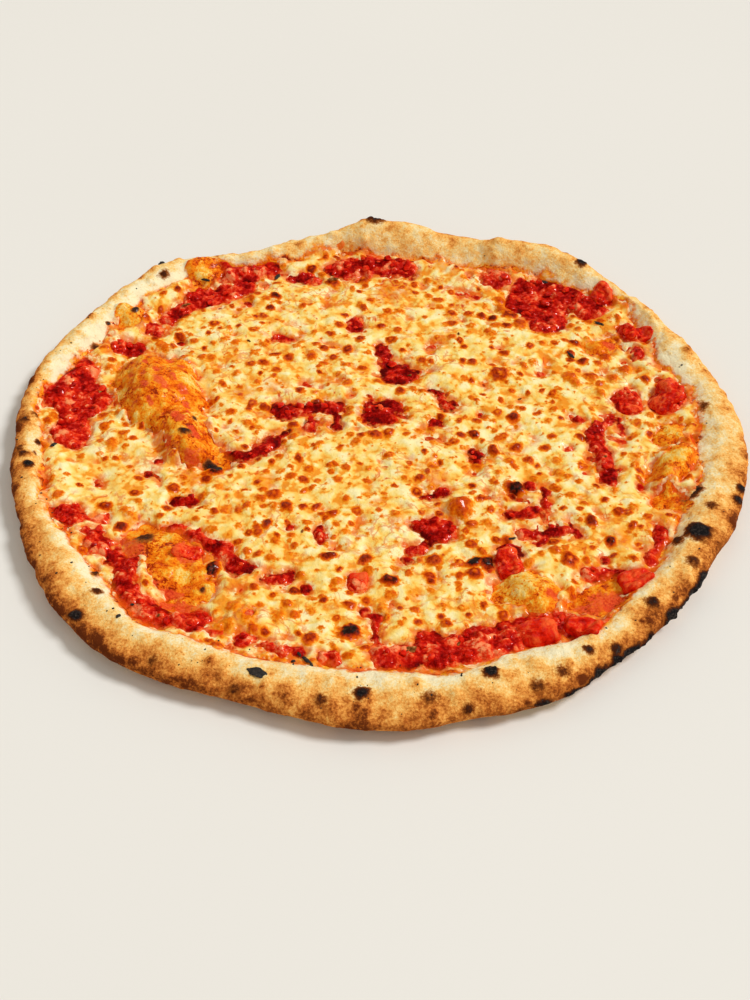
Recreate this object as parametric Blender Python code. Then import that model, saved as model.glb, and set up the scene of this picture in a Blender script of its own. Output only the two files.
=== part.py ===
# Margherita pizza: a baked dough base with a raised and blistered rim, a layer of tomato
# sauce over it, a melted mozzarella sheet with openings that show the sauce, and loose
# tomato chunks. Sizes are in millimetres and become metres as each mesh is made.
# +Z is up, and the origin is at the middle of the flat underside.

import math

import bmesh
import bpy
import numpy as np
from mathutils import Vector
from mathutils.bvhtree import BVHTree
from mathutils.geometry import delaunay_2d_cdt

MM = 0.001
GAP = 0.3                 # clear space between layers that lie on each other

# The rim is stretched unevenly by hand. One row for each place where it changes:
# azimuth in degrees, outer radius, inner radius where the topping starts, crest height.
AZIMUTH, OUTER, INNER, CREST = range(4)
RIM = np.array((
    (0, 163, 141, 11.5),
    (12, 162.2, 145, 11),
    (22, 161.5, 142, 12),
    (34, 162.5, 151, 12),
    (46, 164.8, 151, 13),
    (56, 167.4, 146, 15.5),
    (64, 161, 140, 15.5),
    (72, 159, 139, 14),
    (81, 160, 139, 15),
    (90, 160, 140, 18),
    (98, 156.5, 142, 15),
    (106, 155.3, 141, 12),
    (115, 154.8, 146, 10.5),
    (124, 163, 152, 11),
    (131, 168.5, 152, 12.5),
    (145, 164.6, 150, 12),
    (157, 164, 149, 11.5),
    (168, 162.5, 153, 10.5),
    (180, 159, 146, 11.5),
    (195, 156.8, 143, 11.5),
    (209, 157.8, 137, 12),
    (221, 160.2, 136, 12.5),
    (232, 159.4, 138, 12.5),
    (241, 155.6, 132, 12.5),
    (250, 152.7, 130, 13),
    (262, 154.4, 129, 12),
    (272, 157, 129, 13),
    (284, 155.8, 133, 12.5),
    (296, 158.4, 132, 13),
    (306, 155, 138, 12.5),
    (316, 155, 134, 13),
    (328, 154.5, 136, 12.5),
    (341, 158.8, 136, 12),
    (350, 160.9, 139, 11.5),
))
WIDEST_HEIGHT = 7         # height of the outermost line of the crust
CREST_SHARE = 0.52        # how far across the rim its crest is, from outside, on average
CREST_TILT = 0.12         # it lies that much nearer the outside at the back, and nearer the inside in front
WALL_POWER = 2.1          # 2 is a round outer wall, and more is a squarer one
UNDER_CURVE = 16          # width of the curved band that lifts the rim off the table
FLOOR = 3.2               # dough thickness under the topping
FLOOR_WAVE = 0.5          # gentle ups and downs of the dough under the topping
FLOOR_WAVE_REACH = (17, 21)
SHORE_LIFT = 3.0          # how much thicker the dough gets towards the rim
SHORE_REACH = 18          # and how far inside the rim that starts
SLOPE_POWER = 1.6         # more is a puffier inner slope of the rim
OUTLINE_CENTRE = (1.3, 1.6)     # middle of the outline's box, moved to the origin
SHARP_ANGLE = 50          # edges with a larger turn than this are shaded sharp

# Steam bubbles in the dough: x, y at one end, x, y at the other, radius, height, and
# whether the sauce and cheese have slid off them.
BUBBLES = (
    (-102, 42, -97, 27, 21.5, 13, True),
    (-94, 20, -82, -1, 15, 10.5, True),
    (-88, -65, -86, -73, 19, 5, True),
    (60, -89, 62, -90, 13.5, 6.5, True),
    (124, -22, 134, -9, 8, 6, True),
    (-118, 86, -118, 88, 9, 5, True),
    (-86, 122, -86, 125, 8, 4, True),
    (105, 68, 110, 69, 9, 3, True),
    (34, -42, 35, -42, 8, 2.5, False),
    (131, 9, 131, 3, 9, 2.5, False),
    (-50, -104, -48, -102, 8, 2, False),
    (-2, 149, 18, 151, 14, 2, False),
    (66, 141, 84, 133, 12, 2, False),
)

BUBBLE_FLATNESS = 2.2     # more is a flatter top
BUBBLE_SKIRT = 1.15       # more is a wider foot
BARE_SHARE = 0.85         # how much of a bare bubble's radius shows

# Openings in the cheese that show the sauce, as capsules: x, y, x, y, radius.
OPENINGS = (
    (-137, 42, -137, 14, 12),
    (-119, 68, -115, 68, 8),
    (-106, 82, -98, 96, 6),
    (-94, 100, -66, 116, 9),
    (-74, 128, -54, 129, 8),
    (-20, 133, 18, 130, 8),
    (3, 68, 5, 56, 5),
    (8, 51, 12, 48, 8),
    (3, 24, 4, 17, 9),
    (-36, 20, -20, 22, 6),
    (-66, -8, -50, -4, 6),
    (-130, -42, -124, -51, 8),
    (-114, -60, -108, -66, 7),
    (-103, -78, -99, -92, 7),
    (-95, -100, -76, -102, 9),
    (-86, -53, -70, -60, 8),
    (-66, -64, -56, -74, 7),
    (-40, -84, -38, -80, 6),
    (-54, -116, -18, -123, 6),
    (10, -122, 36, -120, 10),
    (42, -114, 62, -110, 11),
    (72, -104, 84, -108, 9),
    (84, -96, 100, -84, 9),
    (110, -78, 116, -58, 8),
    (22, -50, 28, -55, 8),
    (62, -55, 82, -54, 5),
    (56, -70, 53, -78, 8),
    (82, 110, 84, 90, 14),
    (84, 110, 100, 98, 12),
    (56, 118, 66, 120, 8),
    (120, 78, 130, 78, 8),
    (114, 30, 134, 28, 9),
    (106, 17, 98, 6, 6),
    (98, 4, 101, -22, 6),
)
CHEESE_MARGIN = 5.0       # the cheese stops this far inside the rim's inner radius
CHEESE_INSET = 1.5        # and this far inside the sauce's other edges

# A layer's thickness grows from its edge inwards, by its body over its taper.
SAUCE_EDGE, SAUCE_BODY, SAUCE_TAPER = 0.6, 1.2, 6.0
CHEESE_EDGE, CHEESE_BODY, CHEESE_TAPER = 0.9, 1.5, 8.0
CHEESE_WAVE = 0.4
CHEESE_WAVE_REACH = (7, 6)

# Tomato chunks: x, y, length, width, height, azimuth of the length in degrees.
CHUNKS = (
    (133, 28, 19, 15, 7.5, 60),
    (115, 27, 16, 12, 5, 100),
    (80, -110, 15, 11, 6, -20),
    (63, -112, 17, 12, 6, 10),
    (54, -74, 15, 11, 6, 105),
    (111, 103, 13, 10, 6, -60),
    (104, -84, 15, 10, 5.5, 15),
    (-7, -83, 10, 8, 4, 90),
    (-77, -68, 15, 10, 4.5, -15),
    (126, 76, 17, 10, 5, -20),
)
CHUNK_MARGIN = 3.0        # the cheese keeps this far from a chunk
CHUNK_GAP = 0.5           # clear space under a chunk, which drapes over the sauce
CHUNK_DENT = 0.10         # how uneven a chunk is, as a share of its size
CHUNK_DENTS = (3, 4)      # how often it is dented along and across
CHUNK_FLOOR = -0.3        # where a chunk's round lump is cut flat, as a share of its radius

# Mesh fineness.
AROUND = 66
RIM_RINGS = (0.0, 0.06, 0.2, 0.42, 0.72, 1.0)
UNDER_RINGS = (0.1, 0.4, 1.0)
SPACING = 10.4
RAY_START = 100           # above every surface
SHARPEST_CUT = 0.1        # a cut keeps this share of the spacing from a grid point
RIM_CLEARANCE = 0.6       # and a grid point this share from the rim's innermost ring
SAME_POINT = 1e-6

# name: base colour, roughness, metallic
FINISHES = {
    "crust": ((0.72, 0.44, 0.19), 0.75, 0.0),
    "tomato_sauce": ((0.52, 0.035, 0.012), 0.3, 0.0),
    "mozzarella": ((0.90, 0.66, 0.26), 0.35, 0.0),
    "tomato": ((0.60, 0.03, 0.012), 0.25, 0.0),
}


def clear_scene():
    for thing in list(bpy.data.objects):
        bpy.data.objects.remove(thing, do_unlink=True)


def finish(name):
    colour, roughness, metallic = FINISHES[name]
    made = bpy.data.materials.get(name) or bpy.data.materials.new(name)
    made.use_nodes = True
    shader = made.node_tree.nodes["Principled BSDF"]
    shader.inputs["Base Color"].default_value = (*colour, 1.0)
    shader.inputs["Roughness"].default_value = roughness
    shader.inputs["Metallic"].default_value = metallic
    return made


def add_piece(name, points, faces, finish_name, parent):
    """One closed piece from points in millimetres."""
    mesh = bpy.data.meshes.new(name)
    mesh.from_pydata((np.asarray(points) * MM).tolist(), [], [tuple(map(int, f)) for f in faces])
    mesh.shade_smooth()
    mesh.set_sharp_from_angle(angle=math.radians(SHARP_ANGLE))
    mesh.materials.append(finish(finish_name))
    piece = bpy.data.objects.new(name, mesh)
    piece.parent = parent
    bpy.context.collection.objects.link(piece)
    return piece


def centred(points):
    return points - np.array((*OUTLINE_CENTRE, 0))


def rim_column(azimuth, column):
    """A column of RIM at any azimuth in degrees, on a smooth closed curve through its rows."""
    places = RIM[:, AZIMUTH]
    values = RIM[:, column]
    azimuth = np.mod(azimuth, 360)
    low = np.searchsorted(places, azimuth, side="right") - 1
    before, high, after = low - 1, low + 1, low + 2
    count = len(places)

    def place(index):
        return places[index % count] + 360 * (index // count)

    def value(index):
        return values[index % count]

    span = place(high) - place(low)
    share = (azimuth - place(low)) / span
    slope_low = (value(high) - value(before)) / (place(high) - place(before)) * span
    slope_high = (value(after) - value(low)) / (place(after) - place(low)) * span
    square, cube = share**2, share**3
    return (
        (2 * cube - 3 * square + 1) * value(low)
        + (cube - 2 * square + share) * slope_low
        + (3 * square - 2 * cube) * value(high)
        + (cube - square) * slope_high
    )


def azimuth_of(x, y):
    return np.degrees(np.arctan2(y, x))


def capsule_distance(x, y, x0, y0, x1, y1):
    """Distance from points to the line between two ends."""
    run, rise = x1 - x0, y1 - y0
    share = ((x - x0) * run + (y - y0) * rise) / (run**2 + rise**2)
    share = np.clip(share, 0, 1)
    return np.hypot(x - x0 - share * run, y - y0 - share * rise)


def crust_top(x, y):
    azimuth, radius = azimuth_of(x, y), np.hypot(x, y)
    outer, inner, crest = (rim_column(azimuth, column) for column in (OUTER, INNER, CREST))
    reach_x, reach_y = FLOOR_WAVE_REACH
    floor = FLOOR + FLOOR_WAVE * np.sin(x / reach_x + 1) * np.cos(y / reach_y)
    shore = np.clip(1 + (radius - inner) / SHORE_REACH, 0, 1)
    floor = floor + SHORE_LIFT * shore**2 * (3 - 2 * shore)
    across = np.clip((outer - radius) / (outer - inner), 0, 1)
    share = CREST_SHARE - CREST_TILT * np.sin(np.radians(azimuth))
    rise = np.clip(across / share, 0, 1)
    wall = (1 - (1 - rise) ** WALL_POWER) ** (1 / WALL_POWER)
    fall = np.clip((across - share) / (1 - share), 0, 1)
    slope = floor + (crest - floor) * (1 - fall**SLOPE_POWER)
    height = np.where(fall > 0, slope, WIDEST_HEIGHT + (crest - WIDEST_HEIGHT) * wall)
    raised = np.zeros(np.shape(height))
    for x0, y0, x1, y1, size, lift, _ in BUBBLES:
        near = np.clip(capsule_distance(x, y, x0, y0, x1, y1) / size, 0, 1)
        raised = np.maximum(raised, lift * (1 - near**BUBBLE_FLATNESS) ** BUBBLE_SKIRT)
    return height + raised


def sauce_field(x, y):
    """Positive where there is sauce, and about the distance to its edge."""
    field = rim_column(azimuth_of(x, y), INNER) - np.hypot(x, y)
    for x0, y0, x1, y1, size, _, bare in BUBBLES:
        if bare:
            near = capsule_distance(x, y, x0, y0, x1, y1)
            field = np.minimum(field, near - BARE_SHARE * size)
    return field


def cheese_field(x, y):
    """Positive where there is cheese, and about the distance to its edge."""
    field = rim_column(azimuth_of(x, y), INNER) - CHEESE_MARGIN - np.hypot(x, y)
    field = np.minimum(field, sauce_field(x, y) - CHEESE_INSET)
    for x0, y0, x1, y1, size in OPENINGS:
        field = np.minimum(field, capsule_distance(x, y, x0, y0, x1, y1) - size)
    for x0, y0, length, width, _, azimuth in CHUNKS:
        reach = (length - width) / 2
        run = reach * math.cos(math.radians(azimuth))
        rise = reach * math.sin(math.radians(azimuth))
        near = capsule_distance(x, y, x0 - run, y0 - rise, x0 + run, y0 + rise)
        field = np.minimum(field, near - width / 2 - CHUNK_MARGIN)
    return field


def ring_strip(outside, inside, count):
    """Triangles between two rings of points, facing up when seen from above."""
    faces = []
    for step in range(count):
        after = (step + 1) % count
        faces.append((outside + step, outside + after, inside + after))
        faces.append((outside + step, inside + after, inside + step))
    return faces


def topping_grid():
    """Plan points and triangles that the crust, sauce and cheese share, rim rings first."""
    azimuth = np.arange(AROUND) * 360 / AROUND
    turn = np.radians(azimuth)
    outer, inner = rim_column(azimuth, OUTER), rim_column(azimuth, INNER)
    radii = [outer - (outer - inner) * share for share in RIM_RINGS]
    rings = [np.stack([radius * np.cos(turn), radius * np.sin(turn)], 1) for radius in radii]
    faces = []
    for ring in range(len(rings) - 1):
        faces += ring_strip(ring * AROUND, (ring + 1) * AROUND, AROUND)

    rows = int(inner.max() / SPACING) + 2
    row_height = SPACING * math.sqrt(3) / 2
    across, up = np.meshgrid(np.arange(-rows, rows + 1), np.arange(-rows, rows + 1))
    x = ((across + 0.5 * (up % 2)) * SPACING).ravel()
    y = (up * row_height).ravel()
    inside = np.hypot(x, y) < rim_column(azimuth_of(x, y), INNER) - RIM_CLEARANCE * SPACING
    middle = np.stack([x[inside], y[inside]], 1)

    edge = rings[-1]
    loop = list(range(AROUND))
    plan = [Vector(point) for point in np.concatenate([edge, middle]).tolist()]
    inside_only = 1
    made = delaunay_2d_cdt(plan, [], [loop], inside_only, SAME_POINT)
    first = (len(rings) - 1) * AROUND
    index = [first + sources[0] for sources in made[3]]
    faces += [tuple(index[corner] for corner in face) for face in made[2]]
    return np.concatenate([*rings, middle]), faces


def add_crust(plan, faces, parent):
    top = crust_top(plan[:, 0], plan[:, 1])
    top[:AROUND] = WIDEST_HEIGHT
    points = np.column_stack([plan, top])
    azimuth = np.arange(AROUND) * 360 / AROUND
    turn = np.radians(azimuth)
    outer = rim_column(azimuth, OUTER)
    faces = list(faces)
    above = 0
    for share in UNDER_RINGS:
        radius = outer - UNDER_CURVE * share
        height = np.full(AROUND, WIDEST_HEIGHT * (1 - math.sqrt(1 - (1 - share) ** 2)))
        ring = np.column_stack([radius * np.cos(turn), radius * np.sin(turn), height])
        below = len(points)
        points = np.concatenate([points, ring])
        faces += [face[::-1] for face in ring_strip(above, below, AROUND)]
        above = below
    faces.append(tuple(range(above, above + AROUND))[::-1])
    return add_piece("crust", centred(points), faces, "crust", parent)


def cut_grid(faces, field):
    """The part of the grid where the field is positive. Each point is a blend of two
    grid points, (from, to, share), and the largest connected sheet is kept."""
    least = SHARPEST_CUT * SPACING
    field = np.where(field < 0, np.minimum(field, -least), np.maximum(field, least))
    points, index, kept = [], {}, []

    def point(key, blend):
        if key not in index:
            index[key] = len(points)
            points.append(blend)
        return index[key]

    for face in faces:
        corners = []
        for here, there in zip(face, face[1:] + face[:1]):
            if field[here] > 0:
                corners.append(point((here,), (here, here, 0.0)))
            if (field[here] > 0) != (field[there] > 0):
                low, high = sorted((here, there))
                share = field[low] / (field[low] - field[high])
                corners.append(point((low, high), (low, high, share)))
        for last in range(2, len(corners)):
            kept.append((corners[0], corners[last - 1], corners[last]))
    return points, largest_sheet(kept, len(points))


def largest_sheet(faces, count):
    """The faces of the largest group that hang together."""
    group = list(range(count))

    def root(point):
        while group[point] != point:
            group[point] = group[group[point]]
            point = group[point]
        return point

    for first, *others in faces:
        for other in others:
            group[root(other)] = root(first)
    sizes = {}
    for face in faces:
        sizes[root(face[0])] = sizes.get(root(face[0]), 0) + 1
    largest = max(sizes, key=sizes.get)
    return [face for face in faces if root(face[0]) == largest]


def add_layer(name, plan, faces, field, low, high, parent):
    """A closed layer between two heights given at the grid's points."""
    blends, sheet = cut_grid(faces, field)
    used = sorted({corner for face in sheet for corner in face})
    renamed = {old: new for new, old in enumerate(used)}
    sheet = [tuple(renamed[corner] for corner in face) for face in sheet]
    start, end, share = (np.array(column) for column in zip(*[blends[old] for old in used]))

    def blended(values):
        weight = share if values.ndim == 1 else share[:, None]
        return values[start] * (1 - weight) + values[end] * weight

    flat = blended(plan)
    points = np.concatenate([
        np.column_stack([flat, blended(high)]),
        np.column_stack([flat, blended(low)]),
    ])
    count = len(used)
    edges = {(a, b) for face in sheet for a, b in zip(face, face[1:] + face[:1])}
    walls = []
    for a, b in sorted(edges):
        if (b, a) not in edges:
            walls.append((b, a, a + count))
            walls.append((b, a + count, b + count))
    under = [tuple(corner + count for corner in face[::-1]) for face in sheet]
    return add_piece(name, centred(points), sheet + under + walls, name, parent)


def add_chunk(name, chunk, bed, parent):
    """A lump whose flat underside drapes over the bed below it."""
    x, y, length, width, height, azimuth = chunk
    shape = bmesh.new()
    bmesh.ops.create_icosphere(shape, subdivisions=2, radius=1.0)
    turn = math.radians(azimuth)
    lowest = bed_height(bed, x, y)
    dents_along, dents_across = CHUNK_DENTS
    for vertex in shape.verts:
        side = vertex.co.copy()
        waves = math.sin(dents_along * side.x + x) * math.cos(dents_across * side.y + y)
        dent = 1 + CHUNK_DENT * waves
        along, beside = side.x * dent * length / 2, side.y * dent * width / 2
        below = bed_height(
            bed,
            x + along * math.cos(turn) - beside * math.sin(turn),
            y + along * math.sin(turn) + beside * math.cos(turn),
        )
        rise = (max(side.z, CHUNK_FLOOR) - CHUNK_FLOOR) / (1 - CHUNK_FLOOR) * height
        vertex.co = Vector((along, beside, below - lowest + rise)) * MM
    mesh = bpy.data.meshes.new(name)
    shape.to_mesh(mesh)
    shape.free()
    mesh.shade_smooth()
    mesh.materials.append(finish("tomato"))
    piece = bpy.data.objects.new(name, mesh)
    piece.location = (centred(np.array((x, y, lowest + CHUNK_GAP))) * MM).tolist()
    piece.rotation_euler = (0, 0, turn)
    piece.parent = parent
    bpy.context.collection.objects.link(piece)
    return piece


def bed_height(bed, x, y):
    """Height of the sauce's upper surface, or of its continuation over the rim."""
    return bed.ray_cast(Vector((x, y, RAY_START)), Vector((0, 0, -1)))[0].z


def thickness(field, edge, body, taper):
    return edge + body * np.clip(field / taper, 0, 1)


def main():
    clear_scene()
    pizza = bpy.data.objects.new("pizza", None)
    bpy.context.collection.objects.link(pizza)

    plan, faces = topping_grid()
    x, y = plan[:, 0], plan[:, 1]
    dough = crust_top(x, y)
    dough[:AROUND] = WIDEST_HEIGHT
    sauce, cheese = sauce_field(x, y), cheese_field(x, y)
    sauce_low = dough + GAP
    sauce_high = sauce_low + thickness(sauce, SAUCE_EDGE, SAUCE_BODY, SAUCE_TAPER)
    cheese_low = sauce_high + GAP
    cheese_high = cheese_low + thickness(cheese, CHEESE_EDGE, CHEESE_BODY, CHEESE_TAPER)
    reach_x, reach_y = CHEESE_WAVE_REACH
    cheese_high += CHEESE_WAVE * (1 + np.sin(x / reach_x) * np.cos(y / reach_y))

    add_crust(plan, faces, pizza)
    add_layer("tomato_sauce", plan, faces, sauce, sauce_low, sauce_high, pizza)
    add_layer("mozzarella", plan, faces, cheese, cheese_low, cheese_high, pizza)

    bed = BVHTree.FromPolygons(np.column_stack([plan, sauce_high]).tolist(), faces)
    for number, chunk in enumerate(CHUNKS, 1):
        add_chunk(f"tomato_chunk_{number:02d}", chunk, bed, pizza)


main()
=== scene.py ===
# Margherita pizza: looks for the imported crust, sauce, cheese and tomato chunks.
# Sizes are in millimetres and become metres as each mesh is made.

import itertools
import math

import bmesh
import bpy
import numpy as np
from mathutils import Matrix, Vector
from mathutils.geometry import delaunay_2d_cdt


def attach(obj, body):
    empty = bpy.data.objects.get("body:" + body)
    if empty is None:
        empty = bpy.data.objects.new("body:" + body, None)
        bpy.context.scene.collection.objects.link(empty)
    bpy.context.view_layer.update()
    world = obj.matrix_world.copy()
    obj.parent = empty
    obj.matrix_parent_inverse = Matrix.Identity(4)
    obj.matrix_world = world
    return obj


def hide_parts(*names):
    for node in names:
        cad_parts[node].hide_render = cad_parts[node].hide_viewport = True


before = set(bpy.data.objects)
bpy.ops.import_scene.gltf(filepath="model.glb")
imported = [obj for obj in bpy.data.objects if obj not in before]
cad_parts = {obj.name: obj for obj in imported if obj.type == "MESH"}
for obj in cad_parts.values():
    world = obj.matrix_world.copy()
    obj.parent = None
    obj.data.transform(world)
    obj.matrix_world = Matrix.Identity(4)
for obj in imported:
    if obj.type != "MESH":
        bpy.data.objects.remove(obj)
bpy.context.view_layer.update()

mm = 0.001
outlineCentre = (1.3, 1.6)      # middle of the outline, moved to the origin
draws = np.random.default_rng(8)
unsignedMiddle = 0.25           # close to the average of smoothNoise without its sign


shuffled = np.random.default_rng(3).permutation(256)
slopes = np.random.default_rng(4).normal(size=(256, 3))
slopes /= np.linalg.norm(slopes, axis=1)[:, None]


# bumps about size across, from about -1 to 1
def smoothNoise(points, size, seed=0):
    place = points / size + 17.3 * seed
    cell = np.floor(place).astype(int)
    part = place - cell
    fade = part**3 * (part * (part * 6 - 15) + 10)
    total = np.zeros(len(points))
    for corner in itertools.product((0, 1), repeat=3):
        i, j, k = (cell + corner).T & 255
        slope = slopes[shuffled[(shuffled[(shuffled[i] + j) & 255] + k) & 255]]
        weight = np.where(corner, fade, 1 - fade).prod(1)
        total += weight * ((part - corner) * slope).sum(1)
    return 1.5 * total


# bumps of several sizes added up: size, height
def bumpy(points, bumps, seed):
    return sum(height * smoothNoise(points, size, seed + size) for size, height in bumps)


# noise of several sizes added up: size, share, seed
def mixedNoise(points, rows):
    return sum(share * smoothNoise(points, size, seed) for size, share, seed in rows)


# the same, folded at 0 so that it has creases
def foldedNoise(points, rows):
    return sum(share * np.abs(smoothNoise(points, size, seed)) for size, share, seed in rows)


# each layer is half as high as the one before and less than half as large across
def layeredNoise(points, size, layers, seed=0):
    total = 0
    for layer in range(layers):
        total = total + smoothNoise(points, size / 2.1**layer, seed + layer) / 2**layer
    return total


def flat(x, y, z=0.0):
    return np.column_stack([x, y, np.broadcast_to(z, np.shape(x))])


# 0 below low, 1 above high, and a soft step between
def smooth(value, low, high):
    share = np.clip((value - low) / (high - low), 0, 1)
    return share * share * (3 - 2 * share)


crustForm = {
    # azimuth in degrees, outer radius, inner radius where the topping starts, crest height
    "rim": np.array((
        (0, 163, 141, 11.5), (12, 162.2, 145, 11), (22, 161.5, 142, 12), (34, 162.5, 151, 12),
        (46, 164.8, 151, 13), (56, 167.4, 146, 15.5), (64, 161, 140, 15.5), (72, 159, 139, 14),
        (81, 160, 139, 15), (90, 160, 140, 18), (98, 156.5, 142, 15), (106, 155.3, 141, 12),
        (115, 154.8, 146, 10.5), (124, 163, 152, 11), (131, 168.5, 152, 12.5), (145, 164.6, 150, 12),
        (157, 164, 149, 11.5), (168, 162.5, 153, 10.5), (180, 159, 146, 11.5), (195, 156.8, 143, 11.5),
        (209, 157.8, 137, 12), (221, 160.2, 136, 12.5), (232, 159.4, 138, 12.5), (241, 155.6, 132, 12.5),
        (250, 152.7, 130, 13), (262, 154.4, 129, 12), (272, 157, 129, 13), (284, 155.8, 133, 12.5),
        (296, 158.4, 132, 13), (306, 155, 138, 12.5), (316, 155, 134, 13), (328, 154.5, 136, 12.5),
        (341, 158.8, 136, 12), (350, 160.9, 139, 11.5),
    )),
    "widestHeight": 7,
    "crestShare": 0.52,         # how far across the rim its crest is, from outside
    "crestTilt": 0.12,          # nearer the outside by that at the back, and the inside in front
    "wallPower": 2.1,           # more is a steeper outside
    "underCurve": 16,           # how far in the flat underside starts
    "floor": 3.2,               # thickness of the dough under the topping
    "floorWave": 0.5,
    "floorWaveReach": (17, 21),
    "shoreLift": 3.0,           # how much thicker the dough gets towards the rim
    "shoreReach": 18,
    "slopePower": 1.6,          # more is a puffier inner slope
    # steam bubbles: x, y at one end, x, y at the other, radius, height, whether bare
    "bubbles": (
        (-102, 42, -97, 27, 21.5, 13, True), (-94, 20, -82, -1, 15, 10.5, True),
        (-88, -65, -86, -73, 19, 5, True), (60, -89, 62, -90, 13.5, 6.5, True),
        (124, -22, 134, -9, 8, 6, True), (-118, 86, -118, 88, 9, 5, True), (-86, 122, -86, 125, 8, 4, True),
        (105, 68, 110, 69, 9, 3, True), (34, -42, 35, -42, 8, 2.5, False), (131, 9, 131, 3, 9, 2.5, False),
        (-50, -104, -48, -102, 8, 2, False), (-2, 149, 18, 151, 14, 2, False),
        (66, 141, 84, 133, 12, 2, False),
    ),
    "bubbleFlatness": 2.2,      # more is a flatter top
    "bubbleSkirt": 1.15,        # more is a softer foot
    "bubbleWander": ((19, 4.0), (8, 1.8)),      # bump size, how far a bubble's foot moves
}


def rimColumn(azimuth, column):
    rows = crustForm["rim"]
    places, values = rows[:, 0], rows[:, column]
    azimuth = np.mod(azimuth, 360)
    low = np.searchsorted(places, azimuth, side="right") - 1
    count = len(places)

    def place(index):
        return places[index % count] + 360 * (index // count)

    def value(index):
        return values[index % count]

    span = place(low + 1) - place(low)
    share = (azimuth - place(low)) / span
    slopeLow = (value(low + 1) - value(low - 1)) / (place(low + 1) - place(low - 1)) * span
    slopeHigh = (value(low + 2) - value(low)) / (place(low + 2) - place(low)) * span
    square, cube = share**2, share**3
    return (
        (2 * cube - 3 * square + 1) * value(low)
        + (cube - 2 * square + share) * slopeLow
        + (3 * square - 2 * cube) * value(low + 1)
        + (cube - square) * slopeHigh
    )


def azimuthOf(x, y):
    return np.degrees(np.arctan2(y, x))


def capsuleDistance(x, y, x0, y0, x1, y1):
    run, rise = x1 - x0, y1 - y0
    length = run**2 + rise**2
    share = np.clip(((x - x0) * run + (y - y0) * rise) / length, 0, 1) if length else 0
    return np.hypot(x - x0 - share * run, y - y0 - share * rise)


# the same places, moved a little, so that what is drawn there is uneven
def wandered(x, y, wander, seed):
    for size, reach in wander:
        places = flat(x, y)
        x = x + reach * smoothNoise(places, size, seed)
        y = y + reach * smoothNoise(places, size, seed + 1)
        seed += 2
    return x, y


# how far across the rim its crest is
def crestPlace(azimuth):
    return crustForm["crestShare"] - crustForm["crestTilt"] * np.sin(np.radians(azimuth))


def doughTop(x, y):
    form = crustForm
    azimuth, radius = azimuthOf(x, y), np.hypot(x, y)
    outer, inner, crest = (rimColumn(azimuth, column) for column in (1, 2, 3))
    reachX, reachY = form["floorWaveReach"]
    floor = form["floor"] + form["floorWave"] * np.sin(x / reachX + 1) * np.cos(y / reachY)
    across = np.clip((outer - radius) / (outer - inner), 0, 1)
    floor = floor + form["shoreLift"] * smooth(radius - inner, -form["shoreReach"], 0)
    share = crestPlace(azimuth)
    rise = np.clip(across / share, 0, 1)
    wall = (1 - (1 - rise) ** form["wallPower"]) ** (1 / form["wallPower"])
    fall = np.clip((across - share) / (1 - share), 0, 1)
    slope = floor + (crest - floor) * (1 - fall ** form["slopePower"])
    widest = form["widestHeight"]
    height = np.where(fall > 0, slope, widest + (crest - widest) * wall)
    movedX, movedY = wandered(x, y, form["bubbleWander"], 24)
    raised = np.zeros(np.shape(height))
    for x0, y0, x1, y1, size, lift, _ in form["bubbles"]:
        near = np.clip(capsuleDistance(movedX, movedY, x0, y0, x1, y1) / size, 0, 1)
        raised = np.maximum(raised, lift * (1 - near ** form["bubbleFlatness"]) ** form["bubbleSkirt"])
    return height + raised


# distance inside the nearest capsule, below 0 outside all of them
def insideCapsules(x, y, capsules):
    inside = np.full(np.shape(x), -99.0)
    for x0, y0, x1, y1, size in capsules:
        inside = np.maximum(inside, size - capsuleDistance(x, y, x0, y0, x1, y1))
    return inside


# distance inside the nearest place where a steam bubble has pushed the topping off
def bareDough(x, y):
    return insideCapsules(x, y, topping["bare"])


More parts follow.
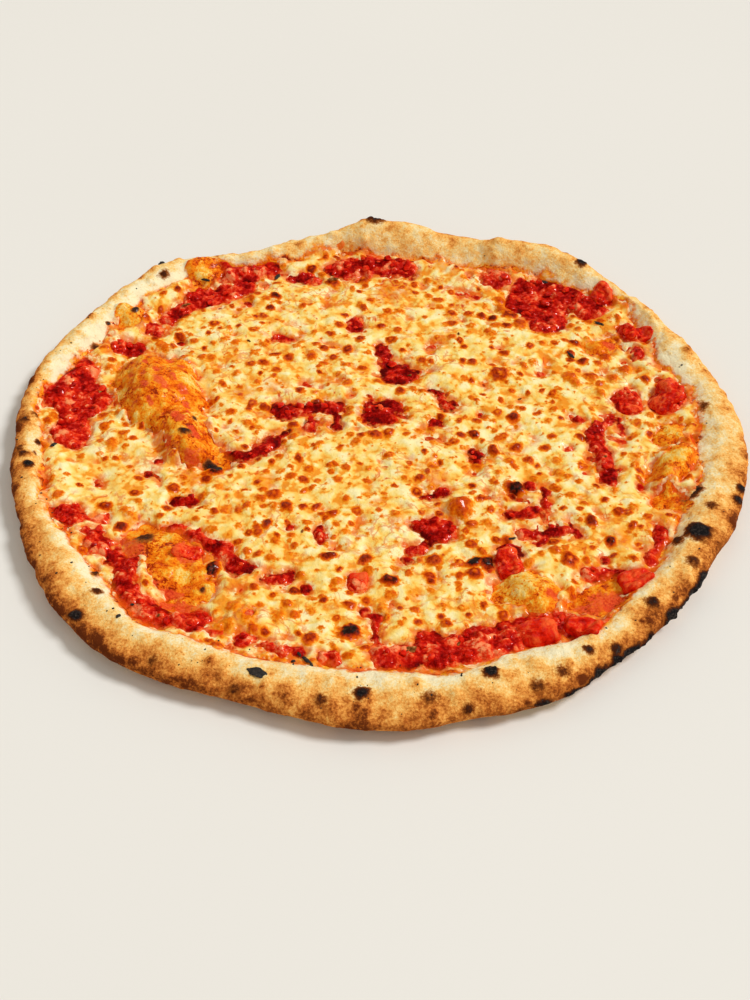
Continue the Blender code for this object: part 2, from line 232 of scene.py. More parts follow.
topping = {
    "reach": 170,               # a radius past every edge of the layers
    # openings in the cheese, as capsules: x, y, x, y, radius
    "pools": (
        (-140, 32, -133, 28, 13.5), (-137, 52, -135, 4, 8), (-121, 68, -113, 68, 6),
        (-107, 82, -107, 82, 5), (-102, 90, -88, 104, 5), (-88, 104, -66, 115, 7), (-73, 126, -62, 126, 8),
        (-56, 129, -52, 129, 6.5), (-40, 123, -30, 122, 3.5), (-18, 130, 16, 130, 7), (-10, 81, -10, 86, 4),
        (-46, 74, -38, 74, 3.2), (3, 68, 6, 54, 3.6), (8, 50, 13, 48, 7.6), (3, 18, 4, 22, 8.5),
        (8, 20, 14, 17, 1.6), (0, 26, -3, 33, 1.6), (-42, 22, -17, 24, 5), (-28, 10, -28, 14, 4),
        (-16, 10, -17, 24, 2.6), (-70, -8, -55, -8, 4), (-55, -8, -46, 2, 4), (-46, 2, -40, 7, 3),
        (-65, -13, -67, -8, 4), (26, 35, 35, 23, 2.9), (26, 13, 26, 11, 3), (44, -7, 45, -10, 3),
        (-22, -54, -22, -58, 2.5), (-131, -47, -126, -47, 6.5), (-124, -47, -112, -46, 2.2),
        (-117, -58, -107, -68, 5.5), (-102, -70, -98, -93, 5.5), (-95, -98, -72, -104, 8),
        (-85, -54, -62, -66, 4.5), (-62, -66, -54, -76, 4), (-82, -36, -78, -36, 4.5),
        (-41, -82, -39, -82, 5), (-27, -86, -27, -87, 3), (-62, -112, -60, -112, 3.2),
        (-52, -115, -50, -115, 4), (-43, -117, -28, -120, 3.2), (-18, -124, -16, -124, 4.6),
        (0, -103, 2, -120, 2.1), (5, -124, 35, -121, 7), (22, -118, 38, -118, 9), (40, -115, 62, -110, 9),
        (70, -105, 85, -109, 6), (88, -78, 106, -84, 5), (118, -56, 113, -74, 4), (22, -53, 28, -53, 6.5),
        (22, -36, 30, -31, 3), (15, -64, 22, -60, 3), (57, -45, 68, -42, 3), (73, -30, 73, -40, 2.6),
        (66, -29, 66, -28, 2.2), (60, -56, 70, -55, 2.6), (70, -56, 82, -54, 4), (66, -62, 70, -58, 2.2),
        (55, -67, 53, -76, 5), (77, 106, 89, 106, 14), (83, 88, 83, 96, 11), (103, 97, 107, 97, 8),
        (59, 120, 61, 120, 7), (50, 109, 42, 110, 2.2), (121, 78, 129, 78, 5), (123, 59, 123, 65, 3),
        (113, 29, 117, 29, 6), (106, 16, 97, 7, 4), (97, 7, 101, -23, 4.5), (110, 17, 111, 4, 1.7),
        (142, 0, 144, 1, 3),
    ),
    # bump size, how far an edge moves
    "edgeWander": ((13, 2.4), (5, 1.5)),
    "shoreWander": ((26, 4.2), (9, 2.4), (3.5, 0.8)),
    "cheeseTatters": ((6.5, 1.9), (2.8, 1.3), (1.5, 0.6)),
    "holeSize": 7.5,            # small holes in the cheese
    "holeShare": 0.66,          # less makes more of them
    "holeSlope": 7.0,
    "bareWander": ((14, 3.5), (6, 2.2), (2.6, 0.8)),
    # bare dough on bubbles, as capsules
    "bare": (
        (-102, 42, -97, 27, 19.5), (-93, 18, -80, -3, 12.5), (-76, -8, -71, -12, 5),
        (-96, -59, -84, -63, 9), (-84, -66, -76, -86, 11), (-70, -78, -70, -84, 6), (60, -89, 62, -90, 12),
        (88, -90, 100, -86, 6.5), (82, -97, 97, -94, 4.5), (124, -22, 134, -9, 7), (-119, 87, -117, 90, 7),
        (-86, 122, -86, 126, 7.5), (106, 69, 110, 69, 6), (131, 2, 132, 8, 7), (126, -38, 124, -36, 6),
    ),
    # sauce smeared on bare dough, as capsules
    "smears": (
        (-104, 28, -103, 26, 1.8), (-98, 30, -95, 27, 2.6), (-88, 30, -86, 28, 2.4),
        (-96, 51, -94, 50, 1.6), (-90, 46, -89, 45, 1.5), (-88, 9, -86, 6, 2.2), (-80, 2, -78, -2, 2.2),
        (-81, -12, -78, -13, 2.6), (-100, 39, -99, 37, 1.4), (-92, 36, -91, 33, 1.3),
        (-101, 19, -100, 17, 1.4), (-85, 21, -84, 19, 1.5), (-112, 40, -111, 37, 1.2),
        (-92, -2, -90, -4, 2.4), (-84, 14, -83, 12, 1.2), (-106, 46, -105, 44, 1.2),
        (-78, -68, -77, -70, 5), (-86, -88, -78, -88, 2), (-100, -64, -97, -74, 4),
        (-104, -60, -108, -62, 4), (-74, -66, -68, -70, 2.6), (-92, -82, -90, -86, 3),
        (-88, -94, -74, -95, 3), (69, -92, 70, -92, 2.4), (88, -92, 97, -91, 3.6), (100, -84, 104, -84, 3),
        (80, -97, 92, -97, 3), (110, 70, 112, 68, 2.6), (-86, 112, -84, 110, 4),
    ),
    # paler places on bare dough: x, y, radius
    "pale": (
        (58, -87, 11), (-86, 122, 5), (-119, 87, 6), (-83, 37, 6), (-117, 30, 5), (132, 6, 5),
        (130, -14, 6), (-79, 13, 5), (-86, 51, 4), (-104, 12, 5), (-78, -80, 4), (-86, -60, 3),
    ),
    "shoreOut": 1.0,            # how far the sauce runs up the rim
    "followsDough": 0.6,        # how much of the dough's unevenness shows in the sauce
    "sauceDepth": 1.5,
    "sauceTaper": 7,            # how far in it takes to reach that depth
    "poolHeap": 1.3,            # how much the sauce bulges up in an opening
    "cheeseDepth": 1.9,
    "cheeseEdge": 0.5,          # thickness at its edge
    "cheeseTaper": 6,           # how far in it takes to reach its depth
    "chunkGap": 0.3,            # between the cheese and a tomato chunk
    "shredHeight": 0.28,
    # tomato chunks: x, y, length, width, height, azimuth
    "chunks": (
        (133, 28, 19, 15, 7.5, 60), (115, 27, 16, 12, 5, 100), (80, -110, 15, 11, 6, -20),
        (63, -112, 17, 12, 6, 10), (54, -74, 15, 11, 6, 105), (111, 103, 13, 10, 6, -60),
        (104, -84, 15, 10, 5.5, 15), (-7, -83, 10, 8, 4, 90), (-77, -68, 15, 10, 4.5, -15),
        (126, 76, 17, 10, 5, -20),
    ),
}


# distance inside the sauce's edge
def sauceField(x, y):
    shore = bumpy(flat(x, y), topping["shoreWander"], 30)
    movedX, movedY = wandered(x, y, topping["bareWander"], 30)
    field = rimColumn(azimuthOf(x, y), 2) + topping["shoreOut"] + shore - np.hypot(x, y)
    return np.minimum(field, -bareDough(movedX, movedY))


# distance inside an opening in the cheese
def poolField(x, y):
    return insideCapsules(*wandered(x, y, topping["edgeWander"], 20), topping["pools"])


# distance inside the cheese's edge
def cheeseField(x, y):
    ragged = bumpy(flat(x, y), topping["cheeseTatters"], 34)
    field = np.minimum(sauceField(x, y) + 1.0 + 1.4 * ragged, -poolField(x, y) + 0.4 + ragged)
    holes = smoothNoise(flat(x, y), topping["holeSize"], 35) - topping["holeShare"]
    field = np.minimum(field, -topping["holeSlope"] * holes + 0.5 * ragged)
    for x0, y0, length, width, _, azimuth in topping["chunks"]:
        reach, turn = (length - width) / 2, math.radians(azimuth)
        run, rise = reach * math.cos(turn), reach * math.sin(turn)
        near = capsuleDistance(x, y, x0 - run, y0 - rise, x0 + run, y0 + rise)
        field = np.minimum(field, near - width / 2 - topping["chunkGap"])
    return field


# points on a triangular grid: all of them where detail is true, and one in coarse elsewhere
def hexGrid(spacing, reach, detail=None, coarse=1):
    rows = int(reach / spacing * 1.2) + 2
    across, up = np.meshgrid(np.arange(-rows, rows + 1), np.arange(-rows, rows + 1))
    x = ((across + 0.5 * up) * spacing).ravel()
    y = (up * spacing * math.sqrt(3) / 2).ravel()
    sparse = ((across % coarse == 0) & (up % coarse == 0)).ravel()
    inside = np.hypot(x, y) < reach
    x, y, sparse = x[inside], y[inside], sparse[inside]
    kept = sparse | detail(x, y) if detail else sparse
    return np.column_stack([x[kept], y[kept]])


def triangulated(points, edges=(), loops=()):
    made = delaunay_2d_cdt([Vector(p) for p in points.tolist()], list(edges), list(loops), bool(loops), 1e-6)
    index = np.array([sources[0] for sources in made[3]])
    return index[np.array(made[2])]


# the part of a sheet where the field is above 0, with fields nearer 0 than least pushed off it
def cutSheet(points, faces, field, least=0.12):
    field = np.where(field < 0, np.minimum(field, -least), np.maximum(field, least))
    inside = (field[faces] > 0).sum(1)
    kept = faces[inside == 3].tolist()
    added, index = [], {}
    for face in faces[(inside > 0) & (inside < 3)].tolist():
        corners = []
        for here, there in zip(face, face[1:] + face[:1]):
            if field[here] > 0:
                corners.append(here)
            if (field[here] > 0) != (field[there] > 0):
                low, high = sorted((here, there))
                if (low, high) not in index:
                    share = field[low] / (field[low] - field[high])
                    index[low, high] = len(points) + len(added)
                    added.append(points[low] * (1 - share) + points[high] * share)
                corners.append(index[low, high])
        kept += [[corners[0], corners[last - 1], corners[last]] for last in range(2, len(corners))]
    points = np.concatenate([points, np.array(added).reshape(-1, 2)])
    used, faces = np.unique(np.array(kept), return_inverse=True)
    return points[used], faces.reshape(-1, 3)


# the directed edges that only one face has
def edgesOf(faces):
    pairs = np.concatenate([faces[:, [0, 1]], faces[:, [1, 2]], faces[:, [2, 0]]])
    there = set(map(tuple, pairs.tolist()))
    return [(a, b) for a, b in there if (b, a) not in there]


# drops loose groups that have fewer faces than fewest
def withoutSpecks(points, faces, fewest):
    group = np.arange(len(points))
    while True:
        lowest = group[faces].min(1)
        changed = group.copy()
        for corner in range(3):
            np.minimum.at(changed, faces[:, corner], lowest)
        changed = changed[changed]
        if (changed == group).all():
            break
        group = changed
    names, sizes = np.unique(group[faces[:, 0]], return_counts=True)
    faces = faces[np.isin(group[faces[:, 0]], names[sizes >= fewest])]
    used, faces = np.unique(faces, return_inverse=True)
    return points[used], faces.reshape(-1, 3)


# the sheet's own points first, then those of a coarser sheet that closes it from below
def closedLayer(points, faces, inside, spacing):
    rim = sorted(edgesOf(faces))
    around = sorted({a for a, b in rim})
    place = {old: new for new, old in enumerate(around)}
    middle = hexGrid(spacing, topping["reach"])
    middle = middle[inside(*middle.T) > 0.45 * spacing]
    lower = np.concatenate([points[around], middle])
    joins = [(place[a], place[b]) for a, b in rim]
    under = triangulated(lower, joins)
    under = filledSide(under, joins)
    first = len(points)
    walls = [(b, a, first + place[a]) for a, b in rim]
    walls += [(b, first + place[a], first + place[b]) for a, b in rim]
    everything = np.concatenate([faces, first + under[:, ::-1], np.array(walls)])
    return np.concatenate([points, lower]), everything


# the faces on the left of the joins, out to the next join
def filledSide(faces, joins):
    walls = set(joins) | {(b, a) for a, b in joins}
    owner = {}
    for number, face in enumerate(faces.tolist()):
        for here, there in zip(face, face[1:] + face[:1]):
            owner[here, there] = number
    waiting = [owner[join] for join in joins if join in owner]
    kept = set(waiting)
    faceList = faces.tolist()
    while waiting:
        face = faceList[waiting.pop()]
        for here, there in zip(face, face[1:] + face[:1]):
            beside = owner.get((there, here))
            if beside is not None and beside not in kept and (here, there) not in walls:
                kept.add(beside)
                waiting.append(beside)
    return faces[sorted(kept)]


def addPiece(name, points, faces, finish, replaced=(), fields=None):
    mesh = bpy.data.meshes.new(name)
    shift = np.array((*outlineCentre, 0))
    mesh.from_pydata(((points - shift) * mm).tolist(), [], faces.tolist())
    for label, values in (fields or {}).items():
        layer = mesh.attributes.new(label, "FLOAT", "POINT")
        layer.data.foreach_set("value", np.asarray(values, np.float32))
    mesh.shade_smooth()
    mesh.materials.append(finish)
    piece = bpy.data.objects.new(name, mesh)
    bpy.context.collection.objects.link(piece)
    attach(piece, "root")
    if replaced:
        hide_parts(*replaced)
    print(f"{name}: {len(mesh.vertices)} points, {len(mesh.polygons)} faces")
    return piece


def normalsOf(points, faces):
    corners = points[faces]
    across = np.cross(corners[:, 1] - corners[:, 0], corners[:, 2] - corners[:, 0])
    total = np.zeros_like(points)
    for corner in range(3):
        np.add.at(total, faces[:, corner], across)
    return total / np.maximum(np.linalg.norm(total, axis=1), 1e-12)[:, None]


# a colour as a screen shows it, 0 to 255, made linear
def paint(red, green, blue):
    shares = (channel / 255 for channel in (red, green, blue))
    return (*(s / 12.92 if s <= 0.04045 else ((s + 0.055) / 1.055) ** 2.4 for s in shares), 1.0)


class Wire:                     # a shader socket that takes arithmetic
    def __init__(self, finish, socket):
        self.finish = finish
        self.socket = socket

    def joined(self, operation, first, second):
        return self.finish.node("ShaderNodeMath", {"operation": operation}, {0: first, 1: second})

    def __add__(self, other):
        return self.joined("ADD", self, other)

    def __sub__(self, other):
        return self.joined("SUBTRACT", self, other)

    def __rsub__(self, other):
        return self.joined("SUBTRACT", other, self)

    def __mul__(self, other):
        return self.joined("MULTIPLY", self, other)

    __radd__ = __add__
    __rmul__ = __mul__


class Finish:                   # a material whose nodes are added as they are named
    def __init__(self, name, **surface):
        self.material = bpy.data.materials.new(name)
        self.material.use_nodes = True
        self.tree = self.material.node_tree
        self.shader = self.tree.nodes["Principled BSDF"]
        self.place = self.node("ShaderNodeTexCoord", output="Object")
        for label, value in surface.items():
            self.shader.inputs[label.replace("_", " ")].default_value = value

    def node(self, kind, settings=None, values=None, output=0):
        made = self.tree.nodes.new(kind)
        for label, setting in (settings or {}).items():
            if label == "stops":
                self.setStops(made.color_ramp, setting)
            else:
                setattr(made, label, setting)
        for label, value in (values or {}).items():
            self.feed(made.inputs[label], value)
        return Wire(self, made.outputs[output])

    def setStops(self, ramp, stops):
        while len(ramp.elements) < len(stops):
            ramp.elements.new(1.0)
        for element, (place, colour) in zip(ramp.elements, stops):
            element.position = place
            element.color = colour

    def feed(self, socket, value):
        if isinstance(value, Wire):
            self.tree.links.new(value.socket, socket)
        else:
            socket.default_value = value

    def surface(self, label, value):
        self.feed(self.shader.inputs[label], value)

    def noise(self, size, detail=3.0, roughness=0.55, distortion=0.0):
        values = {
            "Vector": self.place, "Scale": 1 / (size * mm), "Detail": detail,
            "Roughness": roughness, "Distortion": distortion,
        }
        return self.node("ShaderNodeTexNoise", None, values)

    def field(self, label):
        return self.node("ShaderNodeAttribute", {"attribute_name": label}, None, "Fac")

    def ramp(self, factor, stops):      # stops: place, red, green, blue
        stops = [(place, paint(*colour)) for place, *colour in stops]
        return self.node("ShaderNodeValToRGB", {"stops": stops}, {"Fac": factor})

    def mask(self, value, low, high):
        settings = {"interpolation_type": "SMOOTHSTEP"}
        return self.node("ShaderNodeMapRange", settings, {0: value, 1: low, 2: high})

    def mix(self, factor, first, second):
        values = {0: factor, 6: first, 7: second}
        return self.node("ShaderNodeMix", {"data_type": "RGBA"}, values, 2)

    def bump(self, height, depth):
        values = {"Strength": 1.0, "Distance": depth * mm, "Height": height}
        self.surface("Normal", self.node("ShaderNodeBump", None, values))


# where something lies that is so far along and beside a direction from a place
def turned(x0, y0, along, beside, turn):
    x = x0 + along * math.cos(turn) - beside * math.sin(turn)
    y = y0 + along * math.sin(turn) + beside * math.cos(turn)
    return x, y


# a ball's points, and its faces as rows of point numbers
def ball(fineness):
    shape = bmesh.new()
    bmesh.ops.create_icosphere(shape, subdivisions=fineness, radius=1.0)
    unit = np.array([vertex.co for vertex in shape.verts])
    faces = np.array([[vertex.index for vertex in face.verts] for face in shape.faces])
    shape.free()
    return unit, faces


# full inside round patches, fading out at that share of their radius: x, y, radius
def patched(x, y, patches, edge):
    cover = np.zeros(len(x))
    for x0, y0, size in patches:
        cover = np.maximum(cover, np.clip(edge - np.hypot(x - x0, y - y0) / size, 0, 1))
    return cover


crustLooks = {
    "around": 1250,             # points in each ring
    "wallRings": 15,            # from the outermost line up to the crest
    "slopeRings": 24,           # from the crest down to the topping
    "underRings": 9,
    "reach": 160,               # a radius past the topping's edge
    "spacing": 0.85,            # between points on the bare bubbles
    "bareMargin": 6,            # how far past a bare bubble they stay that close
    "shoreMargin": 9,           # and how far inside the topping's edge
    "hiddenStep": 6,            # times as far apart under the topping
    "baseSpacing": 3.2,         # between points on the underside
    "reliefs": ((22, 1.3), (9, 0.8), (4, 0.36), (1.8, 0.16), (1.1, 0.08)),     # bump size, height
    "bubbleRelief": 2.2,        # extra unevenness of the bare bubbles
    "wrinkles": ((6, 1.0, 45), (2.6, 0.55, 46), (1.5, 0.3, 47)),        # size, share, seed
    "crusting": ((3.6, 1.0, 52), (1.7, 0.6, 54)),       # of burnt dough, in the same columns
    "burnCrust": 1.3,           # how high that stands
    "sootCrust": 1.6,
    "blisters": 420,            # small ones all over the rim
    "blisterSize": (1.2, 3.2),  # least radius, how much more the largest has
    "blisterRise": (0.08, 0.3),     # height as a share of radius
    # azimuth, how brown the rim is there at its outside and beside the topping, 0 pale to 1 dark
    "browning": (
        (0, 0.52, 0.0), (20, 0.42, -0.04), (40, 0.44, 0.04), (60, 0.46, 0.2), (82, 0.5, 0.22),
        (98, 0.46, 0.2), (112, 0.44, 0.12), (125, 0.44, -0.1), (150, 0.46, -0.12), (168, 0.7, 0.08),
        (185, 0.86, 0.2), (200, 0.84, 0.08), (215, 0.78, 0.0), (230, 0.84, 0.02), (250, 0.72, 0.04),
        (275, 0.7, 0.04), (300, 0.7, 0.02), (320, 0.8, 0.08), (340, 0.78, 0.12), (360, 0.56, 0.02),
    ),
    "baseBrowning": 0.35,       # browner than that near the surface it lies on
    "sootAzimuths": (-82, -60, -34, -20),   # where soot on the outside starts, is full, thins and ends
    "sootBand": 3,              # half its height
    "burnUneven": ((3.2, 0.34, 47), (1.5, 0.1, 48)),    # of their edges: bump size, share, seed
    "burnReach": 1.45,          # where a burnt place ends, in radii
    # burnt places: x, y, radius, strength
    "burns": (
        (135, -34, 4.2, 1.1), (132, -62, 5, 1.1), (43, -135, 2.9, 1.2), (-116, -105, 3.2, 0.95),
        (-5, -144.5, 3, 1.1), (108, -100, 3, 0.8), (117, -103, 3, 0.85), (155, -33, 2.6, 0.9),
        (153, -40, 2.8, 0.9), (-149, -20, 2.2, 1.0), (-148, -4, 1.8, 0.75), (-154, -10, 2, 0.62),
        (-105, 118, 2.6, 0.7), (-116, 90, 1.8, 0.9), (-133, 67, 2, 0.7), (-128, 82, 1.3, 0.8),
        (103, 125, 3.2, 1), (96, 110, 2.3, 0.7), (91.7, -122, 2.6, 0.85), (81, -124, 2.2, 0.8),
        (49, -151, 3, 0.75), (34, -150, 2.4, 0.7), (0, 155, 4.4, 0.9), (-138, 5, 2, 0.7),
        (-95, -59, 4, 0.72), (-116, -65, 1.4, 0.9), (-114, -68, 1.2, 0.9), (-83, -2, 2.2, 0.85),
        (-80, 10, 1.2, 0.62), (-71, -14, 3.4, 0.95), (-152, -14, 2.2, 0.66), (-148, -12, 1.6, 0.5),
        (-155, 8, 2.2, 0.62), (-152, 12, 1.8, 0.6), (-148, 14, 1.7, 0.56), (-112, -81, 1.6, 0.8),
        (-109, -93, 2.6, 0.72), (-52, -141, 2.6, 0.65), (-69, -86, 1.4, 0.7), (140, -46, 3, 0.62),
        (124, -64, 3, 0.7), (127, -78, 3, 0.7), (60, -140, 3, 0.6), (20, -146, 3.4, 0.6),
        (70, -134, 3, 0.6), (-20, -147, 3, 0.6), (-84, -128, 2.4, 0.6), (148, 20, 3, 0.55),
    ),
}


def doughRelief(points):
    total = np.zeros(len(points))
    for number, (size, height) in enumerate(crustLooks["reliefs"]):
        total += height * smoothNoise(points, size, 40 + number)
    x, y, _ = points.T
    bubble = smooth(bareDough(x, y), -4, 4)
    skin = foldedNoise(points, crustLooks["wrinkles"])
    swell = crustLooks["bubbleRelief"] * (smoothNoise(points, 15, 44) + 0.5 * skin - 0.25)
    return total * (1 - 0.4 * bubble) + bubble * swell


# a place on the rim, that share of the way across it from outside
def rimPlace(azimuth, across):
    outer, inner = rimColumn(azimuth, 1), rimColumn(azimuth, 2)
    radius = outer - (outer - inner) * across
    return radius * np.cos(np.radians(azimuth)), radius * np.sin(np.radians(azimuth))


# small bubbles on the rim: middle, radius, height, how dark
def rimBlisters():
    count = crustLooks["blisters"]
    azimuth = draws.uniform(0, 360, count)
    across = draws.uniform(0.02, 1, count) ** 1.3
    x, y = rimPlace(azimuth, across)
    least, more = crustLooks["blisterSize"]
    size = least + more * draws.uniform(0, 1, count) ** 2
    rise = size * draws.uniform(*crustLooks["blisterRise"], count)
    return flat(x, y, doughTop(x, y)), size, rise, draws.uniform(0, 1, count) ** 2 * (1.15 - across)


# rows of points round the rim, from its outermost line up over the crest to the topping
def rimRings():
    looks = crustLooks
    turn = np.arange(looks["around"]) * 2 * math.pi / looks["around"]
    outer, inner = rimColumn(np.degrees(turn), 1), rimColumn(np.degrees(turn), 2)
    crest = crestPlace(np.degrees(turn))
    wall = [crest * bend for bend in 1 - np.cos(np.linspace(0, math.pi / 2, looks["wallRings"]))]
    slope = [crest + (1 - crest) * step for step in np.linspace(0, 1, looks["slopeRings"] + 1)[1:]]
    rings = []
    for share in (*wall, *slope):
        radius = outer - (outer - inner) * share
        x, y = radius * np.cos(turn), radius * np.sin(turn)
        rings.append(flat(x, y, doughTop(x, y)))
    rings[0][:, 2] = crustForm["widestHeight"]
    return rings


# rows round the curved band below the outermost line, down to the flat underside
def underRings():
    looks = crustLooks
    turn = np.arange(looks["around"]) * 2 * math.pi / looks["around"]
    outer = rimColumn(np.degrees(turn), 1)
    rings = []
    for share in np.linspace(0, 1, looks["underRings"] + 1)[1:] ** 1.5:
        radius = outer - crustForm["underCurve"] * share
        height = crustForm["widestHeight"] * (1 - math.sqrt(1 - (1 - share) ** 2))
        rings.append(flat(radius * np.cos(turn), radius * np.sin(turn), height))
    return rings


def ringFaces(upper, lower, around):
    step = np.arange(around)
    after = (step + 1) % around
    return np.concatenate([
        np.column_stack([upper + step, upper + after, lower + after]),
        np.column_stack([upper + step, lower + after, lower + step]),
    ])


def crustMesh():
    looks = crustLooks
    around = looks["around"]
    rim, under = rimRings(), underRings()

    def showing(x, y):
        shore = rimColumn(azimuthOf(x, y), 2) - looks["shoreMargin"]
        return (bareDough(x, y) > -looks["bareMargin"]) | (np.hypot(x, y) > shore)

    middle = hexGrid(looks["spacing"], looks["reach"], showing, looks["hiddenStep"])
    middle = middle[np.hypot(*middle.T) < rimColumn(azimuthOf(*middle.T), 2) - 0.6]
    loop = [list(range(around))]
    inside = triangulated(np.concatenate([rim[-1][:, :2], middle]), (), loop)
    base = hexGrid(looks["baseSpacing"], looks["reach"])
    flatReach = rimColumn(azimuthOf(*base.T), 1) - crustForm["underCurve"] - 2
    base = base[np.hypot(*base.T) < flatReach]
    below = triangulated(np.concatenate([under[-1][:, :2], base]), (), loop)

    points = np.concatenate([*rim, flat(*middle.T, doughTop(*middle.T)), *under, flat(*base.T)])
    faces = [ringFaces(row * around, (row + 1) * around, around) for row in range(len(rim) - 1)]
    faces.append(inside + (len(rim) - 1) * around)
    starts = [0, *(len(rim) * around + len(middle) + row * around for row in range(len(under)))]
    faces += [ringFaces(there, here, around) for here, there in zip(starts, starts[1:])]
    faces.append(below[:, ::-1] + starts[-1])
    return points, np.concatenate(faces)


# raises the rim's small bubbles in the relief, and says how dark they are
def raiseBlisters(points, relief):
    dark = np.zeros(len(points))
    for centre, size, lift, depth in zip(*rimBlisters()):
        near = np.linalg.norm(points - centre, axis=1) / size
        relief += lift * np.clip(1 - near**2, 0, 1) ** 1.5
        dark = np.maximum(dark, depth * np.clip(1.2 - near, 0, 1))
    return dark


# how burnt the dough is, most in the middle of each burnt place
def burntAt(points):
    looks = crustLooks
    total = np.zeros(len(points))
    uneven = mixedNoise(points, looks["burnUneven"])
    for x0, y0, size, strength in looks["burns"]:
        middle = np.array((x0, y0, doughTop(np.array([x0]), np.array([y0]))[0]))
        near = np.linalg.norm(points - middle, axis=1) / size
        cover = looks["burnReach"] - near + 1.3 * uneven * np.minimum(near, 1.2)
        total = np.maximum(total, strength * np.clip(cover, 0, 1))
    return total


# soot on the outside of the rim
def sootOn(points):
    looks = crustLooks
    x, y, z = points.T
    azimuth = azimuthOf(x, y)
    angle = np.mod(azimuth + 90, 360) - 90
    start, full, thin, end = looks["sootAzimuths"]
    sooty = smooth(angle, start, full) * smooth(-angle, -end, -thin)
    ragged = layeredNoise(points, 9, 4, 48)
    away = np.abs(z - crustForm["widestHeight"]) / looks["sootBand"]
    inward = rimColumn(azimuth, 1) - np.hypot(x, y)
    return sooty * np.clip(1.15 - away + 1.3 * ragged - 0.3 * inward, 0, 1.2)


# how brown the dough is, before its mottling
def browningAt(x, y, z):
    azimuth = azimuthOf(x, y)
    outer, inner = rimColumn(azimuth, 1), rimColumn(azimuth, 2)
    across = np.clip((outer - np.hypot(x, y)) / (outer - inner), 0, 1)
    places, outside, inside = np.array(crustLooks["browning"]).T
    around = np.mod(azimuth, 360)
    lower = (1 - across) ** 1.5
    brown = lower * np.interp(around, places, outside) + (1 - lower) * np.interp(around, places, inside)
    return brown + crustLooks["baseBrowning"] * (1 - smooth(z, 0.5, 4))


# where sauce is smeared on bare dough
def smearedAt(x, y):
    smear = np.zeros(len(x))
    for x0, y0, x1, y1, size in topping["smears"]:
        near = capsuleDistance(x, y, x0, y0, x1, y1) / size
        smear = np.maximum(smear, np.clip(1.5 - near, 0, 1))
    return smear


def buildCrust(finish):
    looks = crustLooks
    points, faces = crustMesh()
    normal = normalsOf(points, faces)
    x, y, z = points.T
    upward = smooth(normal[:, 2], -0.75, -0.2)
    relief = doughRelief(points)
    dark = raiseBlisters(points, relief)
    burn = burntAt(points)
    crusty = foldedNoise(points, looks["crusting"])
    relief += smooth(burn, 0.3, 0.9) * (0.3 + looks["burnCrust"] * crusty)
    soot = sootOn(points)
    relief += smooth(soot, 0.3, 1) * (0.1 + looks["sootCrust"] * crusty)
    moved = points + normal * (relief * upward)[:, None]
    moved[:, 2] = np.maximum(moved[:, 2], 0)
    bare = smooth(bareDough(*wandered(x, y, topping["bareWander"], 30)), -2, 1.5)
    fields = {
        "pale": patched(x, y, topping["pale"], 1.4),
        "browning": browningAt(x, y, z) + 0.5 * dark * (1 - bare),
        "burn": np.maximum(burn, soot),
        "bare": np.maximum(bare, smooth(sauceField(x, y), -5.5, 0.5) * 0.8),
        "smear": smearedAt(x, y),
        "wrinkle": foldedNoise(points, looks["wrinkles"]) - 0.5,
        "underside": smooth(-normal[:, 2], 0.6, 0.95),
    }
    return addPiece("baked_crust", moved, faces, finish, ["crust"], fields)


